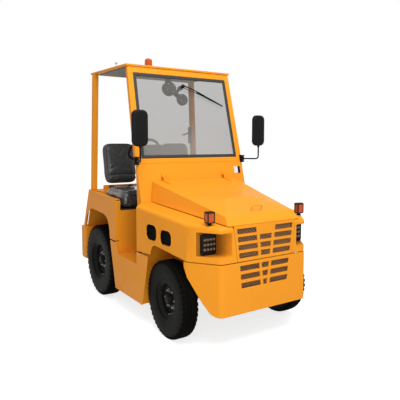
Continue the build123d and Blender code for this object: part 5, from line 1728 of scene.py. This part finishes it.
TAIL_LAMP_AT = (-540.0, 1084.2, 535.0)
TAIL_LENSES = [  # offset, width, finish
    (-30.0, 50.0, 1),
    (10.0, 26.0, 2),
    (38.0, 26.0, 3),
]
TAIL_LENS_LINE = [(13, 0), (21, 0), (24.5, 1.5), (25.5, 5.0)]
BOLT_ROWS = [  # start, end, count, radius
    ((-560, 1084.1, 590), (560, 1084.1, 590), 6, 9.0),
    ((-560, 1084.1, 312), (560, 1084.1, 312), 6, 9.0),
    ((-52, 1104.1, 330), (-52, 1104.1, 570), 3, 7.0),
    ((52, 1104.1, 330), (52, 1104.1, 570), 3, 7.0),
]
COWL_BOLTS = [(-540, 1316), (-540, 1350), (540, 1316), (540, 1350)]
PLATES, PLATE_TALL, PLATE_Z = [(470.0, 42.0, 1), (505.0, 27.0, 2)], 66, 1226
CAP_AT = (300, 662, 1010.2)
CAP_LINE = [(0, 0), (0, 40), (6, 40), (8, 34), (8, 30), (22, 29), (26, 24), (26, 0)]


class TUG_OT_tail(bpy.types.Operator):
    """Makes the tail lamps"""

    bl_idname = "tug.tail"
    bl_label = "Tail lamps"

    def execute(self, context):
        form = Form()
        middle = mm(*TAIL_LAMP_AT)
        form.prism(rounded_outline(120, 70, 8), middle, ACROSS, UP, BACK * 0.014)
        for offset, wide, kind in TAIL_LENSES:
            rows = []
            for out, shrink in TAIL_LENS_LINE:
                ring = rounded_outline(wide - shrink * 2, 58 - shrink * 2, 6)
                rows.append(placed(ring, middle + mm(offset, out, 0), ACROSS, UP))
            form.hull(rows, kind, foot=False)
        form.paired().build("tail_lamps_dressed", [black_plastic, red_lens, amber_lens, clear_lens],
                            "red_lens", replaces=["tail_lamps"])
        return {"FINISHED"}


class TUG_OT_bolts(bpy.types.Operator):
    """Makes the bolts, the blank plate and the filler cap"""

    bl_idname = "tug.bolts"
    bl_label = "Bolts and fittings"

    def execute(self, context):
        form = Form()
        for start, end, count, radius in BOLT_ROWS:
            for i in range(count):
                form.bolt(mm(*start).lerp(mm(*end), i / (count - 1)), BACK, radius)
        for x, z in COWL_BOLTS:
            form.bolt(on_screen(x, z, 0.1), SCREEN_OUT, 4.5)
        rise = SCREEN_OUT.cross(ACROSS)
        for x, wide, kind in PLATES:
            plate = rounded_outline(wide, PLATE_TALL, 4)
            form.prism(plate, on_screen(x, PLATE_Z, 0.2), ACROSS, rise, SCREEN_OUT * 0.003, kind)
        form.build("bolts_and_plate", [zinc, pale_plate, black_plastic], "dark_metal", edge=0.6)
        cap = Form()
        cap.lathe(mm(*CAP_AT), UP, CAP_LINE, 0, 40)
        cap.build("filler_cap", [black_plastic], "black_plastic", edge=1.0)
        return {"FINISHED"}


# Stage

CAMERA_AT, CAMERA_TURN, CAMERA_TILT, CAMERA_ROLL = (-2.2596, -3.8410, 1.5101), -0.608, -0.092, 0.004
CAMERA_LENS, CAMERA_SENSOR, CAMERA_SHIFT = 43.15, 36.0, (-0.0551, -0.0400)
LAMPS = [  # name, place, aim, size, watts
    ("overhead", (-0.6, -2.6, 5.4), (0, -0.2, 0.9), 4.0, 255.0),
    ("front_fill", (-2.4, -4.9, 1.4), (0, -0.4, 0.9), 3.0, 82.0),
]
SURROUND, SURROUND_POWER = (1.0, 0.98, 0.95, 1.0), 0.42
WHITE = (1.0, 1.0, 1.0, 1.0)


def studio_floor():
    """A pale floor that looks near white to a viewer."""
    finish = Finish("studio_floor")
    colour = finish.blend(finish.noise(1.5, 2.0), (0.59, 0.59, 0.59), (0.61, 0.61, 0.61))
    glow = finish.blend(finish.seen(), (0.0, 0.0, 0.0), (0.75, 0.75, 0.75))
    return finish.surface(colour, 0.9, more={"Emission Color": glow, "Emission Strength": 1.0})


class TUG_OT_stage(bpy.types.Operator):
    """Makes the camera, the floor and the light"""

    bl_idname = "tug.stage"
    bl_label = "Camera, floor and light"

    def execute(self, context):
        scene = bpy.context.scene
        scene.view_settings.view_transform = "Standard"
        self.camera(scene)
        self.floor()
        self.lamps()
        self.surround(scene)
        return {"FINISHED"}

    def camera(self, scene):
        """The photo's own camera."""
        data = bpy.data.cameras.new("camera")
        data.lens, data.sensor_width = CAMERA_LENS, CAMERA_SENSOR
        data.shift_x, data.shift_y = CAMERA_SHIFT
        scene.camera = linked("camera", data)
        turn = (Matrix.Rotation(CAMERA_TURN, 4, "Z") @ Matrix.Rotation(math.pi / 2 + CAMERA_TILT, 4, "X")
                @ Matrix.Rotation(CAMERA_ROLL, 4, "Z"))
        scene.camera.matrix_world = Matrix.Translation(CAMERA_AT) @ turn

    def floor(self):
        """A wide floor just below the wheels."""
        form = Form()
        form.box((-40000, -40000, -20), (40000, 40000, -0.5))
        mesh = bpy.data.meshes.new("floor")
        mesh.from_pydata([tuple(p) for p in form.points], [], form.faces)
        mesh.materials.append(studio_floor())
        linked("floor", mesh)

    def lamps(self):
        """One broad lamp overhead and a fill in front."""
        for name, spot, aim, size, power in LAMPS:
            data = bpy.data.lights.new(name, "AREA")
            data.shape, data.size, data.energy = "SQUARE", size, power
            lamp = linked(name, data)
            lamp.location = spot
            lamp.rotation_euler = (Vector(aim) - Vector(spot)).to_track_quat("-Z", "Y").to_euler()

    def surround(self, scene):
        """An even light from all sides that looks white to a viewer."""
        scene.world = bpy.data.worlds.new("surround")
        nodes = Nodes(scene.world)
        plain = nodes.wire("ShaderNodeBackground", None, {"Color": SURROUND, "Strength": SURROUND_POWER})
        white = nodes.wire("ShaderNodeBackground", None, {"Color": WHITE, "Strength": 1.0})
        mixed = nodes.wire("ShaderNodeMixShader", None, {0: nodes.seen(), 1: plain, 2: white})
        nodes.node("ShaderNodeOutputWorld", None, {"Surface": mixed})


OPERATORS = [
    TUG_OT_stage,
    TUG_OT_sheets,
    TUG_OT_hood,
    TUG_OT_wheels,
    TUG_OT_grille,
    TUG_OT_headlamps,
    TUG_OT_vents,
    TUG_OT_seats,
    TUG_OT_mirrors,
    TUG_OT_wiper,
    TUG_OT_glass,
    TUG_OT_roof,
    TUG_OT_steering,
    TUG_OT_dash,
    TUG_OT_controls,
    TUG_OT_floor,
    TUG_OT_tail,
    TUG_OT_bolts,
]


class TUG_PT_panel(bpy.types.Panel):
    """Lists the settings and the steps that dress the tug"""

    bl_idname = "TUG_PT_panel"
    bl_label = "Baggage tug"
    bl_space_type = "VIEW_3D"
    bl_region_type = "UI"
    bl_category = "Tug"

    def draw(self, context):
        for name in TugSettings.__annotations__:
            self.layout.prop(context.scene.tug_settings, name)
        for step in OPERATORS:
            self.layout.operator(step.bl_idname)


CLASSES = [TugSettings, *OPERATORS, TUG_PT_panel]


def register():
    """Adds the settings, the operators and the panel."""
    for kind in CLASSES:
        bpy.utils.register_class(kind)
    bpy.types.Scene.tug_settings = bpy.props.PointerProperty(type=TugSettings)


def unregister():
    """Takes them away again."""
    del bpy.types.Scene.tug_settings
    for kind in reversed(CLASSES):
        bpy.utils.unregister_class(kind)


def main():
    """Dresses the whole tug."""
    register()
    for step in OPERATORS:
        group, name = step.bl_idname.split(".")
        getattr(getattr(bpy.ops, group), name)()


if __name__ == "__main__":
    main()
